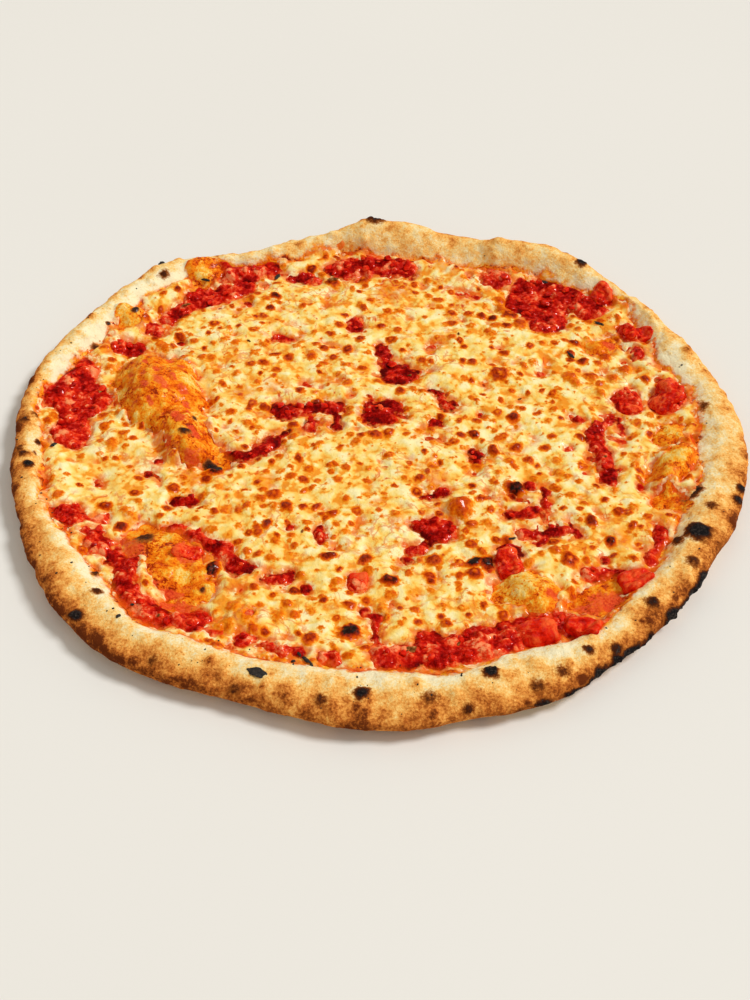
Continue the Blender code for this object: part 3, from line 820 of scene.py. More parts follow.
def crustFinish():
    finish = Finish("Baked dough", Roughness=0.9, Specular_IOR_Level=0.05)
    patches = finish.noise(11, 2) - 0.5
    mottles = finish.noise(3.6, 3, 0.6) - 0.5
    specks = finish.noise(1.0, 3, 0.7) - 0.5
    shade = finish.field("browning") + patches * 0.9 + mottles * 0.65 + specks * 0.8
    dough = finish.ramp(shade, (
        (0.0, 255, 241, 198), (0.2, 255, 220, 148), (0.36, 254, 194, 104), (0.52, 238, 156, 70),
        (0.7, 190, 104, 38), (0.88, 106, 46, 14),
    ))
    grit = finish.mask(finish.noise(1.3, 4, 0.75), 0.58, 0.72)
    dough = finish.mix(grit * finish.mask(shade, 0.15, 0.65) * 0.7, dough, paint(118, 58, 18))
    pale = finish.mask(finish.field("pale") + mottles * 0.8 + specks * 0.4, 0.2, 0.9)
    freckles = finish.mask(finish.noise(1.6, 3, 0.7) + patches * 0.8 + mottles * 0.3, 0.58, 0.7)
    tint = finish.noise(6, 5, 0.7) + mottles * 0.4 + specks * 0.6 + finish.field("wrinkle") * 0.24
    tint = tint + pale * 0.2 + 0.03 - freckles * 0.26
    stained = finish.ramp(tint, (
        (0.22, 150, 40, 0), (0.36, 218, 78, 0), (0.47, 244, 118, 6), (0.57, 255, 152, 24),
        (0.69, 255, 190, 62), (0.86, 255, 222, 132),
    ))
    smear = finish.mask(finish.field("smear") + patches * 1.0 + mottles * 2.0 + specks * 1.8, 0.5, 0.86)
    sauce = finish.mix(specks * 2.2 + 0.5, paint(206, 20, 4), paint(255, 104, 54))
    stained = finish.mix(smear * 0.85, stained, sauce)
    bare = finish.mask(finish.field("bare") + mottles * 1.1, 0.35, 0.75)
    colour = finish.mix(bare, dough, stained)
    base = finish.ramp(finish.noise(15, 4, 0.55) + mottles * 0.45 + specks * 0.35, (
        (0.34, 246, 224, 178), (0.48, 232, 186, 120), (0.58, 200, 138, 72), (0.67, 138, 78, 34),
        (0.78, 62, 36, 22),
    ))
    colour = finish.mix(finish.field("underside"), colour, base)
    burn = finish.field("burn") + mottles * 0.5 + specks * 0.8
    toasted = finish.mix(finish.mask(burn, 0.3, 0.7), paint(168, 92, 32), paint(78, 34, 12))
    colour = finish.mix(finish.mask(burn, 0.06, 0.5), colour, toasted)
    char = finish.mask(burn, 0.66, 0.94)
    cinder = finish.mix(finish.mask(specks, -0.02, 0.22), paint(20, 17, 18), paint(74, 62, 54))
    colour = finish.mix(char, colour, cinder)
    finish.surface("Base Color", colour)
    finish.surface("Roughness", 0.88 - bare * 0.4 - char * 0.35)
    finish.surface("Coat Weight", bare * finish.mask(finish.noise(4, 2), 0.52, 0.64) * 0.3)
    finish.shader.inputs["Coat Roughness"].default_value = 0.2
    finish.bump(finish.noise(1.1, 4, 0.7) + finish.noise(3, 2) * 0.6, 0.6)
    return finish.material


sauceLooks = {
    "reach": 160,
    "spacing": 0.62,            # between points where it shows
    "hiddenStep": 6,            # times as far apart under the cheese
    "skirt": 1.3,               # how far past its own edge it thins out
    "fewest": 40,               # faces that a loose group must have to stay
    "underSpacing": 5,          # between points on its closed underside
    "swells": ((9, 0.8), (4.2, 0.6)),       # bump size, height
    "pulp": ((2.6, 0.45), (1.3, 0.18)),     # lump size, height
    "bitGap": 5.0,              # between bits of tomato flesh
    "bitSize": (1.2, 3.8),
    "bitRise": (0.25, 0.65),    # height as a share of radius
    "sunk": 1.0,                # how deep that underside lies in the dough
    "leastDepth": 0.4,          # between its top and that underside
}


# bits of tomato flesh in the sauce, in the columns of the cheese's blisters
def scatterBits():
    looks = sauceLooks
    grid = hexGrid(looks["bitGap"], looks["reach"])
    grid = grid + draws.uniform(-0.6, 0.6, grid.shape) * looks["bitGap"]
    low, high = looks["bitSize"]
    size = low + (high - low) * draws.uniform(0, 1, len(grid)) ** 1.8
    shade = draws.uniform(0.3, 1, len(grid))
    rise = draws.uniform(*looks["bitRise"], len(grid))
    turn = draws.uniform(0, math.pi, len(grid))
    squash = draws.uniform(0.5, 1, len(grid))
    bits = np.column_stack([grid, size, shade, rise, turn, squash, np.zeros(len(grid))])
    return bits[(cheeseField(*grid.T) < 1) & (sauceField(*grid.T) > 0)]


def sauceBed(x, y):
    field = sauceField(x, y)
    depth = topping["sauceDepth"] * smooth(field, -1.5, topping["sauceTaper"])
    depth = depth + 0.7 * smooth(field, -1.5, 1) - 0.5
    uneven = doughRelief(flat(x, y, doughTop(x, y)))
    return doughTop(x, y) + uneven * topping["followsDough"] + depth


def buildSauce(finish):
    looks = sauceLooks

    def showing(x, y):
        return (cheeseField(x, y) < 1.4) & (sauceField(x, y) > -3)

    def inside(x, y):
        return sauceField(x, y) + looks["skirt"]

    plan = hexGrid(looks["spacing"], looks["reach"], showing, looks["hiddenStep"])
    faces = triangulated(plan)
    plan, faces = cutSheet(plan, faces, inside(*plan.T))
    plan, faces = withoutSpecks(plan, faces, looks["fewest"])
    count = len(plan)
    plan, faces = closedLayer(plan, faces, inside, looks["underSpacing"])
    x, y = plan.T
    places = flat(x, y)
    opened = smooth(-cheeseField(x, y), -0.8, 3)
    swell = smooth(sauceField(x, y), -1, 3.5)
    lumps = [(np.abs(smoothNoise(places, size, 61 + size)), lift) for size, lift in looks["pulp"]]
    pulp = sum(lift * (lump - unsignedMiddle) for lump, lift in lumps)
    waves = bumpy(places, looks["swells"], 64)
    lift, shade, _ = blistered(x, y, scatterBits())
    z = sauceBed(x, y) + swell * opened * (topping["poolHeap"] + pulp + waves + lift)
    bottom = doughTop(x, y) - looks["sunk"]
    z[count:] = np.minimum(bottom, z - looks["leastDepth"])[count:]
    fields = {
        # painted shade and highlight: pulp follows the sauce's lumps and swells, so the finish darkens its
        # low places and lightens its raised ones
        "pulp": 0.4 + 0.5 * pulp + 0.35 * waves,
        "bits": shade,
        "shore": sauceField(x, y),
        "film": smooth(cheeseField(x, y), -2.0, 0.5),
        "fresh": smooth(np.hypot(x, y), 50, 120) - 0.5,
    }
    return addPiece("tomato_sauce_layer", flat(x, y, z), faces, finish, ["tomato_sauce"], fields)


def sauceFinish():
    finish = Finish("Baked tomato sauce", Specular_IOR_Level=0.03, Coat_Roughness=0.1)
    patches = finish.noise(9, 3) - 0.5
    grit = finish.noise(1.6, 4, 0.65) - 0.5
    # painted shade and highlight: through pulp, low places in the sauce come out darker red and raised lumps
    # lighter, with random tone from the bits and the noise
    pulp = finish.field("pulp") - 0.12 + finish.field("bits") * 0.4 + grit * 1.1 + patches * 1.0
    pulp = pulp + finish.field("fresh") * 0.2
    colour = finish.ramp(pulp, (
        (0.05, 92, 0, 0), (0.28, 150, 4, 0), (0.5, 200, 20, 4), (0.7, 236, 62, 24), (0.9, 254, 148, 94),
    ))
    film = finish.mask(finish.field("film") + patches * 1.3 + grit * 0.9, 0.38, 0.9)
    lace = finish.mask(finish.noise(3, 3), 0.48, 0.6)
    colour = finish.mix(film * 0.65, colour, finish.mix(lace, paint(226, 70, 10), paint(250, 150, 70)))
    shore = 1 - finish.mask(finish.field("shore") + finish.noise(4, 3) * 4, 0.5, 4.5)
    colour = finish.mix(shore * 0.75, colour, paint(236, 104, 14))
    finish.surface("Base Color", colour)
    finish.surface("Roughness", 0.42 - grit * 0.3)
    wet = finish.mask(finish.noise(1.6, 2), 0.52, 0.62) * finish.mask(pulp, 0.3, 0.6)
    finish.surface("Coat Weight", wet * 0.7)
    finish.bump(finish.noise(0.9, 3) + finish.noise(2.2, 2), 0.5)
    return finish.material


cheeseLooks = {
    "reach": 162,
    "spacing": 0.76,            # between points where it is uneven
    "smoothStep": 2,            # times as far apart where it is smooth
    "fewest": 14,               # faces that a loose group must have to stay
    "underSpacing": 4,          # between points on its closed underside
    "underDepth": 0.35,         # how deep that underside lies in the sauce
    "swells": ((24, 0.5), (11, 0.35), (1.5, 0.07)),     # bump size, height
    "pillows": ((6.5, 0.42), (3.0, 0.17)),      # rounded, between creases
    "shreds": 900,
    "shredLength": (4, 15),
    "shredSize": (0.55, 1.15),  # half its width
    "shredSpread": 1.5,         # times as wide as that at its foot
    "shredWander": ((4, 0.7, 73),),     # bump size, how far it moves a shred, seed
    # blisters everywhere: gap between them, least and most radius, palest and darkest
    "blisters": ((7.4, 1.2, 2.4, 0.36, 0.8), (4.6, 0.4, 0.95, 0.2, 0.46)),
    "blisterReach": 150,
    "blisterRise": (0.2, 0.46),     # height as a share of radius
    "burntRise": 0.44,
    "bareSpots": 22,            # how large the stretches without blisters are
    "crowding": 0.8,            # about the share that is kept
    "crowdSwing": 0.9,          # how much that changes from place to place
    "blisterUneven": ((3.0, 0.34, 70), (1.4, 0.2, 71)),     # of its outline: bump size, share, seed
    # the next ones are in radii, save for the depths, toastShrink and toastSize
    "domeReach": 1.35,          # where a blister's dome ends
    "craterReach": 0.7,         # where the paler middle of some ends
    "craterDepth": 0.7,         # how much paler that is
    "toastReach": 1.65,         # where its browning ends
    "toastShrink": 0.08,        # less than that for each millimetre over toastSize
    "toastSize": 2.4,
    "creaseAt": 1.25,           # where the crease round it runs
    "creaseWidth": 0.28,        # half of that crease's width
    "creaseDepth": 0.3,
    # darker blisters: x, y, radius, how dark
    "burnt": (
        (66, 92, 3.4, 0.95), (57, 89, 2.2, 0.9), (58, 46, 4.2, 0.9), (44, 5, 2.6, 0.9), (62, 16, 2.8, 0.9),
        (60, -30, 4, 0.95), (52, -6, 3.2, 0.8), (36, -43, 5.0, 0.62), (79, -72, 4, 0.9),
        (97, -61, 2.8, 0.9), (90, -50, 3, 0.85), (6, -83, 3.4, 1.0), (-45, -52, 2.4, 0.85),
        (-37, -42, 3.2, 0.8), (24, -72, 2.8, 0.8), (-66, -76, 4.6, 1.0), (-69, -18, 3.6, 1.0),
        (-39, 8, 2.2, 1.0), (-41, 16, 1.8, 1.05), (-26, 27, 2.8, 0.8), (-47, 61, 2.8, 0.8),
        (-13, 65, 2.6, 0.85), (-10, -110, 4.4, 1.1), (0, 4, 3, 0.8), (6, 5, 2.6, 0.75), (-19, -70, 3, 0.85),
        (-4, -71, 3, 0.85), (-84, -36, 2.4, 0.9), (-33, -11, 2.4, 0.8), (19, -24, 2.6, 0.75),
        (95, 70, 2.8, 0.85), (92, 62, 2.2, 0.85), (97, 56, 2.4, 0.85), (-43, -34, 3, 0.75),
        (45, -36, 2.8, 0.75), (-114, -40, 3, 0.85), (-18, -45, 2.4, 0.7), (-32, -88, 2.4, 0.85),
        (-25, -114, 3, 0.8), (-106, -52, 2.6, 0.85), (-49, 107, 2.4, 0.95), (-50, 124, 2.2, 1.05),
        (-32, 129, 2.2, 1.0), (-6, 121, 3.2, 0.9), (-21, 118, 3.2, 0.85), (-51, 97, 2, 0.85),
        (46, -73, 3.4, 1.05), (40, -73, 3.6, 1.15), (40, -79, 3, 0.9), (-64, -66, 2.6, 0.7),
        (-93, 93, 2.4, 0.95), (-50, -103, 5, 0.36), (-44, -127, 5.2, 0.42), (-58, -108, 3.6, 0.4),
        (-38, -102, 3.4, 0.42), (-56, -97, 3.2, 0.4), (70, 84, 3.8, 0.6), (90, 44, 3.6, 0.5),
        (62, 104, 3.8, 0.55), (-116, -2, 3.2, 0.4), (64, 97, 4.6, 0.62), (82, 79, 4.2, 0.66),
        (102, 67, 4, 0.6), (108, 60, 3.8, 0.62), (92, 40, 4, 0.5), (100, 45, 3.4, 0.6),
        (114, 73, 3.4, 0.55), (103, 33, 3.2, 0.42), (116, 50, 3.6, 0.56), (110, 44, 3.2, 0.46),
    ),
    # oily orange patches: x, y, radius
    "oily": (
        (36, 128, 16), (8, 110, 14), (88, -98, 12), (75, -97, 10), (-50, -104, 10), (125, -39, 12),
        (131, 4, 12), (108, 70, 14), (124, -34, 10), (118, -50, 9), (125, -20, 8), (110, -80, 9),
        (30, 72, 9), (-46, -26, 11), (-60, 34, 8), (-17, 42, 7), (52, -86, 8), (33, -44, 11), (-32, 8, 7),
        (-100, -48, 9), (26, -24, 8), (-55, -36, 9), (-100, 84, 8), (-22, 12, 8), (-80, -22, 8),
        (-45, 38, 8), (60, -60, 9), (45, 108, 10), (-75, 92, 7), (10, -50, 7), (-34, -98, 7), (84, 60, 9),
        (100, -60, 9), (-62, 104, 8),
    ),
    # creamy patches: x, y, radius
    "creamy": (
        (-80, 78, 16), (-125, -18, 16), (45, 10, 14), (-62, -92, 7), (66, -64, 9), (30, -92, 10),
        (-125, -30, 12), (18, 92, 12), (62, 36, 9), (-30, 50, 9), (-5, -42, 9), (-28, -52, 9), (75, 10, 12),
        (-50, 86, 10), (-110, 6, 8), (88, -30, 10), (70, -8, 8), (-72, 24, 7), (104, 40, 8),
    ),
}


# blisters: x, y, radius, how dark, height as a share of radius, direction, narrowness, how hollow
def scatterBlisters():
    looks = cheeseLooks
    blisters = [np.array([(*spot, looks["burntRise"]) for spot in looks["burnt"]])]
    for gap, low, high, palest, darkest in looks["blisters"]:
        grid = hexGrid(gap, looks["blisterReach"])
        grid = grid + draws.uniform(-0.5, 0.5, grid.shape) * gap
        size = low + (high - low) * draws.uniform(0, 1, len(grid)) ** 1.3
        dark = palest + (darkest - palest) * draws.uniform(0, 1, len(grid)) ** 1.3
        rise = draws.uniform(*looks["blisterRise"], len(grid))
        crowd = looks["crowding"] + looks["crowdSwing"] * smoothNoise(flat(*grid.T), looks["bareSpots"], 72)
        kept = (cheeseField(*grid.T) > size * 0.6) & (draws.uniform(0, 1, len(grid)) < crowd)
        for x0, y0, radius, _ in looks["burnt"]:
            kept &= np.hypot(grid[:, 0] - x0, grid[:, 1] - y0) > radius + size
        blisters.append(np.column_stack([grid, size, dark, rise])[kept])
    blisters = np.concatenate(blisters)
    turn = draws.uniform(0, math.pi, len(blisters))
    squash = draws.uniform(0.55, 1, len(blisters))
    ring = draws.uniform(0, 1, len(blisters)) ** 2
    return np.column_stack([blisters, turn, squash, ring])


# half-melted shreds of cheese: x, y, length, half its width, direction, bend
def scatterShreds():
    looks = cheeseLooks
    count = looks["shreds"]
    x, y = draws.uniform(-145, 145, (2, count))
    length = draws.uniform(*looks["shredLength"], count)
    size = draws.uniform(*looks["shredSize"], count)
    turn = draws.uniform(0, math.pi, count)
    bend = draws.uniform(-0.25, 0.25, count)
    shreds = np.column_stack([x, y, length, size, turn, bend])
    return shreds[cheeseField(x, y) > 1]


# for each spot, the places within reach of it, and how far along and beside its direction they are
def placesNear(x, y, spots):
    order = np.argsort(x)
    sortedX = x[order]
    for x0, y0, reach, turn in spots:
        first, last = np.searchsorted(sortedX, (x0 - reach, x0 + reach))
        near = order[first:last]
        near = near[np.abs(y[near] - y0) < reach]
        along = (x[near] - x0) * math.cos(turn) + (y[near] - y0) * math.sin(turn)
        beside = (y[near] - y0) * math.cos(turn) - (x[near] - x0) * math.sin(turn)
        yield near, along, beside


# how much of a shred's height lies at each place, 0 to 1
def shredded(x, y, shreds):
    total = np.zeros(len(x))
    warp = mixedNoise(flat(x, y), cheeseLooks["shredWander"])
    x0, y0, length, size, turn, _ = shreds.T
    spots = zip(x0, y0, length * 0.62 + size, turn)
    for (near, along, beside), (_, _, length, size, _, bend) in zip(placesNear(x, y, spots), shreds):
        beside = beside + warp[near] - bend * along**2 / length
        away = np.hypot(np.maximum(np.abs(along) - length / 2, 0), beside) / size
        total[near] = np.maximum(total[near], np.clip(1 - (away / cheeseLooks["shredSpread"]) ** 2, 0, 1))
    return total


# how far blisters lift the cheese, how toasted it is, and how deep the creases round them are
def blistered(x, y, blisters):
    looks = cheeseLooks
    lift, toast, crease = np.zeros(len(x)), np.zeros(len(x)), np.zeros(len(x))
    warp = mixedNoise(flat(x, y), looks["blisterUneven"])
    x0, y0, size, _, _, turn, _, _ = blisters.T
    spots = zip(x0, y0, 2.6 * size, turn)
    for (near, along, beside), blister in zip(placesNear(x, y, spots), blisters):
        _, _, size, dark, rise, turn, squash, ring = blister
        away = np.hypot(along, beside / squash) / size + warp[near]
        dome = np.clip(1 - (away / looks["domeReach"]) ** 2, 0, 1) ** 1.5
        lift[near] = np.maximum(lift[near], size * rise * dome)
        crater = 1 - looks["craterDepth"] * ring * np.clip(1 - away / looks["craterReach"], 0, 1)
        reach = looks["toastReach"] - looks["toastShrink"] * max(size - looks["toastSize"], 0)
        toast[near] = np.maximum(toast[near], dark * crater * np.clip(reach - away, 0, 1))
        sharpness = (turn * 7.3) % 1
        groove = np.clip(1 - np.abs(away - looks["creaseAt"]) / looks["creaseWidth"], 0, 1)
        crease[near] = np.maximum(crease[near], sharpness * groove)
    return lift, toast, crease


def cheeseTop(x, y, blisters, shreds):
    looks = cheeseLooks
    places = flat(x, y)
    field = cheeseField(x, y)
    lift, toast, crease = blistered(x, y, blisters)
    lift = lift - looks["creaseDepth"] * crease
    shred = shredded(x, y, shreds)
    inward = smooth(field, -0.2, topping["cheeseTaper"])
    body = topping["cheeseEdge"] + (topping["cheeseDepth"] - topping["cheeseEdge"]) * inward
    relief = bumpy(places, looks["swells"], 80)
    pillows = [np.abs(smoothNoise(places, size, 84 + size)) for size, _ in looks["pillows"]]
    heights = [height for _, height in looks["pillows"]]
    relief = relief + sum((pillow - unsignedMiddle) * height for pillow, height in zip(pillows, heights))
    relief = relief + topping["shredHeight"] * (shred - 0.3)
    rounding = smooth(field, -0.1, 1.4)
    height = sauceBed(x, y) + 0.1 + (body + relief * (0.35 + 0.65 * inward) + lift) * rounding
    # puff follows the pillows' height, for painted light: raised tops come out lighter as a painted
    # highlight, hollows more orange as painted shade and pooled oil
    puff = 0.42 + 1.1 * (pillows[0] - unsignedMiddle) + 0.9 * (pillows[1] - unsignedMiddle)
    puff = puff + 0.3 * smoothNoise(places, 11, 91)
    return height, {"toast": toast, "inward": field, "puff": puff, "shred": shred, "crease": crease}


def buildCheese(finish):
    looks = cheeseLooks
    blisters, shreds = scatterBlisters(), scatterShreds()

    def detailed(x, y):
        lift, _, crease = blistered(x, y, blisters)
        edge = np.abs(cheeseField(x, y)) < 2
        return (lift + crease > 0.05) | edge | (shredded(x, y, shreds) > 0.15)

    plan = hexGrid(looks["spacing"], looks["reach"], detailed, looks["smoothStep"])
    plan = plan[cheeseField(*plan.T) > -1.6]
    faces = triangulated(plan)
    plan, faces = cutSheet(plan, faces, cheeseField(*plan.T))
    plan, faces = withoutSpecks(plan, faces, looks["fewest"])
    count = len(plan)
    plan, faces = closedLayer(plan, faces, cheeseField, looks["underSpacing"])
    x, y = plan.T
    z, fields = cheeseTop(x, y, blisters, shreds)
    low = sauceBed(x, y)
    z[:count] = np.maximum(z, low - 0.1)[:count]
    z[count:] = (low - looks["underDepth"])[count:]
    oil, cream = (patched(x, y, looks[kind], 1.3) for kind in ("oily", "creamy"))
    shore = np.clip(1 - sauceField(x, y) / 7, 0, 1)
    fields["oil"] = np.maximum(oil, shore * 0.8) - 0.6 * cream
    return addPiece("melted_cheese", flat(x, y, z), faces, finish, ["mozzarella"], fields)


def cheeseFinish():
    finish = Finish("Melted mozzarella", Specular_IOR_Level=0.04, Coat_Roughness=0.15)
    clouds = finish.noise(20, 3) - 0.5
    patches = finish.noise(5, 3) - 0.5
    specks = finish.noise(1.3, 3, 0.65) - 0.5
    puff = finish.field("puff")
    shred = finish.field("shred")
    # painted highlight and shade through puff: lighter cream on the raised pillows, orange in the hollows
    # between them
    colour = finish.ramp(puff + shred * 0.3 + clouds * 0.5 + patches * 0.2 + specks * 0.2, (
        (0.06, 246, 152, 40), (0.22, 254, 200, 90), (0.38, 254, 217, 118), (0.6, 255, 230, 148),
        (0.9, 255, 240, 178),
    ))
    oil = finish.field("oil") + clouds * 1.2 + patches * 0.8 - puff * 0.4 - shred * 0.3
    oil = finish.mask(oil, 0.25, 0.95)
    greasy = finish.mix(finish.mask(patches, -0.1, 0.15), paint(234, 110, 8), paint(250, 156, 30))
    colour = finish.mix(oil * 0.8, colour, greasy)
    thin = finish.noise(7, 4, 0.62, 0.9) + finish.field("oil") * 0.06 - shred * 0.1 + specks * 0.12
    colour = finish.mix(finish.mask(thin, 0.59, 0.69) * 0.8, colour, paint(234, 96, 12))
    colour = finish.mix(finish.mask(thin, 0.67, 0.74) * 0.9, colour, paint(200, 36, 4))
    rind = 1 - finish.mask(finish.field("inward") + patches * 4 + specks * 2, 0.2, 3.2)
    lace = finish.mask(finish.noise(5, 3), 0.5, 0.6)
    edge = finish.mix(lace, paint(232, 96, 20), paint(255, 236, 188))
    colour = finish.mix(rind * 0.8, colour, edge)
    wave = finish.noise(12, 1.5, 0.5, 1.2) - 0.5
    veins = finish.node("ShaderNodeMath", {"operation": "ABSOLUTE"}, {0: wave + specks * 0.16})
    veins = (1 - finish.mask(veins, 0.006, 0.05)) * finish.mask(finish.noise(17, 2), 0.48, 0.6)
    colour = finish.mix(veins * 0.6, colour, paint(228, 96, 20))
    toast = finish.field("toast") + patches * 0.25 + specks * 0.7
    browned = finish.ramp(toast, (
        (0.06, 253, 190, 72), (0.2, 247, 154, 28), (0.36, 233, 112, 4), (0.54, 208, 74, 0),
        (0.72, 160, 40, 0), (0.9, 100, 26, 4), (1.1, 34, 16, 10),
    ))
    # painted shade: the crease round each blister is darkened to a deeper orange
    crease = finish.mask(finish.field("crease") + specks * 0.5, 0.3, 0.8)
    colour = finish.mix(crease * 0.45, colour, paint(226, 100, 20))
    colour = finish.mix(finish.mask(toast, 0.04, 0.28), colour, browned)
    finish.surface("Base Color", colour)
    finish.surface("Roughness", 0.42 + patches * 0.3)
    wet = finish.mask(finish.noise(2.4, 3), 0.5, 0.62)
    finish.surface("Coat Weight", wet * (0.35 + oil * 0.35))
    finish.bump(finish.noise(1.2, 4) + finish.noise(3.5, 2), 0.4)
    return finish.material


chunkLooks = {
    "fineness": 5,
    "share": (0.9, 0.9, 0.9, 0.9, 0.86, 0.78, 0.9, 0.9, 0.74, 0.86),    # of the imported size
    "sunk": 1.6,                # how deep it lies in the sauce
    # cut pieces keep flat sides, and crushed ones are lumpy: boxiness, then lump size and height
    "cut": (5.0, ((9, 1.5), (3.8, 0.4), (1.4, 0.12))),
    "crushed": (3.0, ((8, 2.2), (3.4, 1.2), (1.6, 0.45))),
    "crushedPieces": (1, 2, 5, 6, 9, 10),
    "taper": 0.25,              # how much wider one end is at most
    "tilt": 0.16,               # how far a piece leans, as a slope
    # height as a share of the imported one
    "flatness": (0.68, 0.5, 0.75, 0.75, 0.6, 0.6, 0.65, 0.4, 0.5, 0.6),
}


def buildChunk(number, chunk, finish):
    looks = chunkLooks
    x0, y0, length, width, height, azimuth = chunk
    unit, faces = ball(looks["fineness"])
    crushed = number in looks["crushedPieces"]
    boxiness, lumps = looks["crushed" if crushed else "cut"]
    unit /= ((np.abs(unit) ** boxiness).sum(1) ** (1 / boxiness))[:, None]
    share = looks["share"][number - 1]
    along, beside = share * unit[:, 0] * length / 2, share * unit[:, 1] * width / 2
    taper = 1 + looks["taper"] * math.sin(number * 2.4) * unit[:, 0]
    beside = beside * taper
    x, y = turned(x0, y0, along, beside, math.radians(azimuth))
    lean = looks["tilt"] * (math.sin(number * 1.7) * along + math.cos(number * 2.9) * beside)
    top = unit[:, 2] * looks["flatness"][number - 1] * height + lean
    z = sauceBed(x, y) + np.where(unit[:, 2] > 0, top, unit[:, 2] * looks["sunk"] + lean * 0.5)
    points = np.column_stack([x, y, z])
    normal = normalsOf(points, faces)
    bulge = sum(lift * smoothNoise(points, size, 90 + number) for size, lift in lumps)
    points = points + normal * (bulge * smooth(unit[:, 2], -0.6, 0))[:, None]
    name = f"tomato_chunk_{number:02d}"
    # rise: how high on the piece a point lies, with its bulges; the finish uses it as painted light, lighter
    # on top and darker low down
    fields = {"rise": unit[:, 2] + 0.5 * bulge, "crushed": np.full(len(x), float(crushed))}
    return addPiece(f"tomato_dice_{number:02d}", points, faces, finish, [name], fields)


def chunkFinish():
    finish = Finish("Cooked tomato", Specular_IOR_Level=0.03, Coat_Roughness=0.1)
    grit = finish.noise(1.5, 4, 0.65) - 0.5
    grain = grit * (0.25 + finish.field("crushed") * 0.5)
    # painted highlight and shade: through rise, the tops and bulges come out lighter and the lower sides
    # darker, over the flesh's own mottling
    fleshAndLitTop = finish.noise(6, 4, 0.6, 0.8) + finish.field("rise") * 0.1 + grain
    colour = finish.ramp(fleshAndLitTop, (
        (0.25, 120, 2, 0), (0.4, 182, 8, 0), (0.56, 226, 34, 8), (0.74, 250, 100, 46),
    ))
    finish.surface("Base Color", colour)
    finish.surface("Roughness", 0.32 - grit * 0.25)
    finish.surface("Coat Weight", finish.mask(finish.noise(2.2, 2), 0.5, 0.62) * 0.5)
    finish.bump(finish.noise(1.0, 3) + finish.noise(3, 2), 0.4)
    return finish.material


crumbLooks = {
    "bitReach": 150,
    "bitGap": 7.5,              # between loose bits of tomato
    "bitSize": (1.6, 4.4),
    "bitHeight": 0.5,           # as a share of width
    # burnt flakes: x, y, length, width, azimuth
    "flakes": (
        (-44, -135, 7.5, 4.2, -28), (-85, 119, 6, 2, -30), (-29, -122, 3.4, 1.1, -60),
        (-26, -125, 4.5, 1.6, -40), (-24, -128, 3, 1.2, -75), (-31, -125, 1.8, 1, 10),
        (-69, -17, 5, 3.4, 20), (-107, 127, 4, 3, 60), (-99, -107, 2.2, 1.3, 50), (-95, -98, 1.6, 1, 20),
        (-49, 124, 4.5, 2, 70), (92, 60, 5, 1.6, 120), (108, 84, 5, 1.4, 150), (84, 116, 4, 1.8, -20),
        (-141, -4, 3, 1.6, 40), (56, -60, 4, 1.2, 10),
    ),
    # herb flecks, in the same columns
    "herbs": (
        (13, -121, 5.5, 3.2, 15), (-21, 118, 5.5, 2.2, 5), (-92, 98, 4.5, 1.6, 20), (32, -117, 2, 1, 60),
        (-126, 34, 1.6, 1.1, 30), (-84, -104, 1.8, 1, 70), (16, 46, 2.2, 1, 20), (-30, -56, 2, 0.9, 80),
        (66, 30, 2, 0.9, 35), (-60, 70, 2.2, 1, 140), (100, -12, 1.8, 0.9, 10), (40, 76, 1.8, 1, 100),
    ),
    "flakeHeight": 0.9,
    "herbHeight": 0.8,
    "ash": 150,                 # specks of ash on the rim
    "ashSize": (0.35, 1.3),
}


# the height of the finished surface under a place
def surfaceAt(x, y, pieces):
    start = Vector(((x - outlineCentre[0]) * mm, (y - outlineCentre[1]) * mm, 0.1))
    heights = [piece.ray_cast(start, Vector((0, 0, -1)))[1].z for piece in pieces]
    return max(heights) / mm


# one mesh of small uneven pieces lying on the surface: x, y, length, width, height, azimuth
def addCrumbs(name, spots, fineness, pieces, finish, seed):
    unit, corners = ball(fineness)
    points, faces = [], []
    for number, (x0, y0, length, width, height, azimuth) in enumerate(spots):
        uneven = 1 + 0.45 * smoothNoise(unit * 1.4 + number * 3.1, 1, seed)
        along, beside, up = (unit * uneven[:, None] * (length / 2, width / 2, height / 2)).T
        up = up + 0.12 * math.sin(number * 2.3) * (along**2 - beside**2) / length
        x, y = turned(x0, y0, along, beside, math.radians(azimuth))
        points.append(flat(x, y, surfaceAt(x0, y0, pieces) + 0.25 * height + up))
        faces.append(corners + len(unit) * number)
    return addPiece(name, np.concatenate(points), np.concatenate(faces), finish)


def charFinish():
    finish = Finish("Burnt dough", Specular_IOR_Level=0.3)
    grit = finish.noise(0.9, 4, 0.7)
    finish.surface("Base Color", finish.ramp(grit, (
        (0.35, 14, 12, 12), (0.6, 44, 36, 30), (0.75, 96, 78, 60),
    )))
    finish.surface("Roughness", grit * 0.5 + 0.3)
    finish.bump(finish.noise(0.7, 3), 0.3)
    return finish.material


def herbFinish():
    finish = Finish("Dried oregano", Roughness=0.8, Specular_IOR_Level=0.05)
    finish.surface("Base Color", finish.ramp(finish.noise(1.6, 3), (
        (0.35, 84, 42, 12), (0.55, 146, 84, 36), (0.7, 196, 140, 84),
    )))
    finish.bump(finish.noise(0.7, 3), 0.3)
    return finish.material


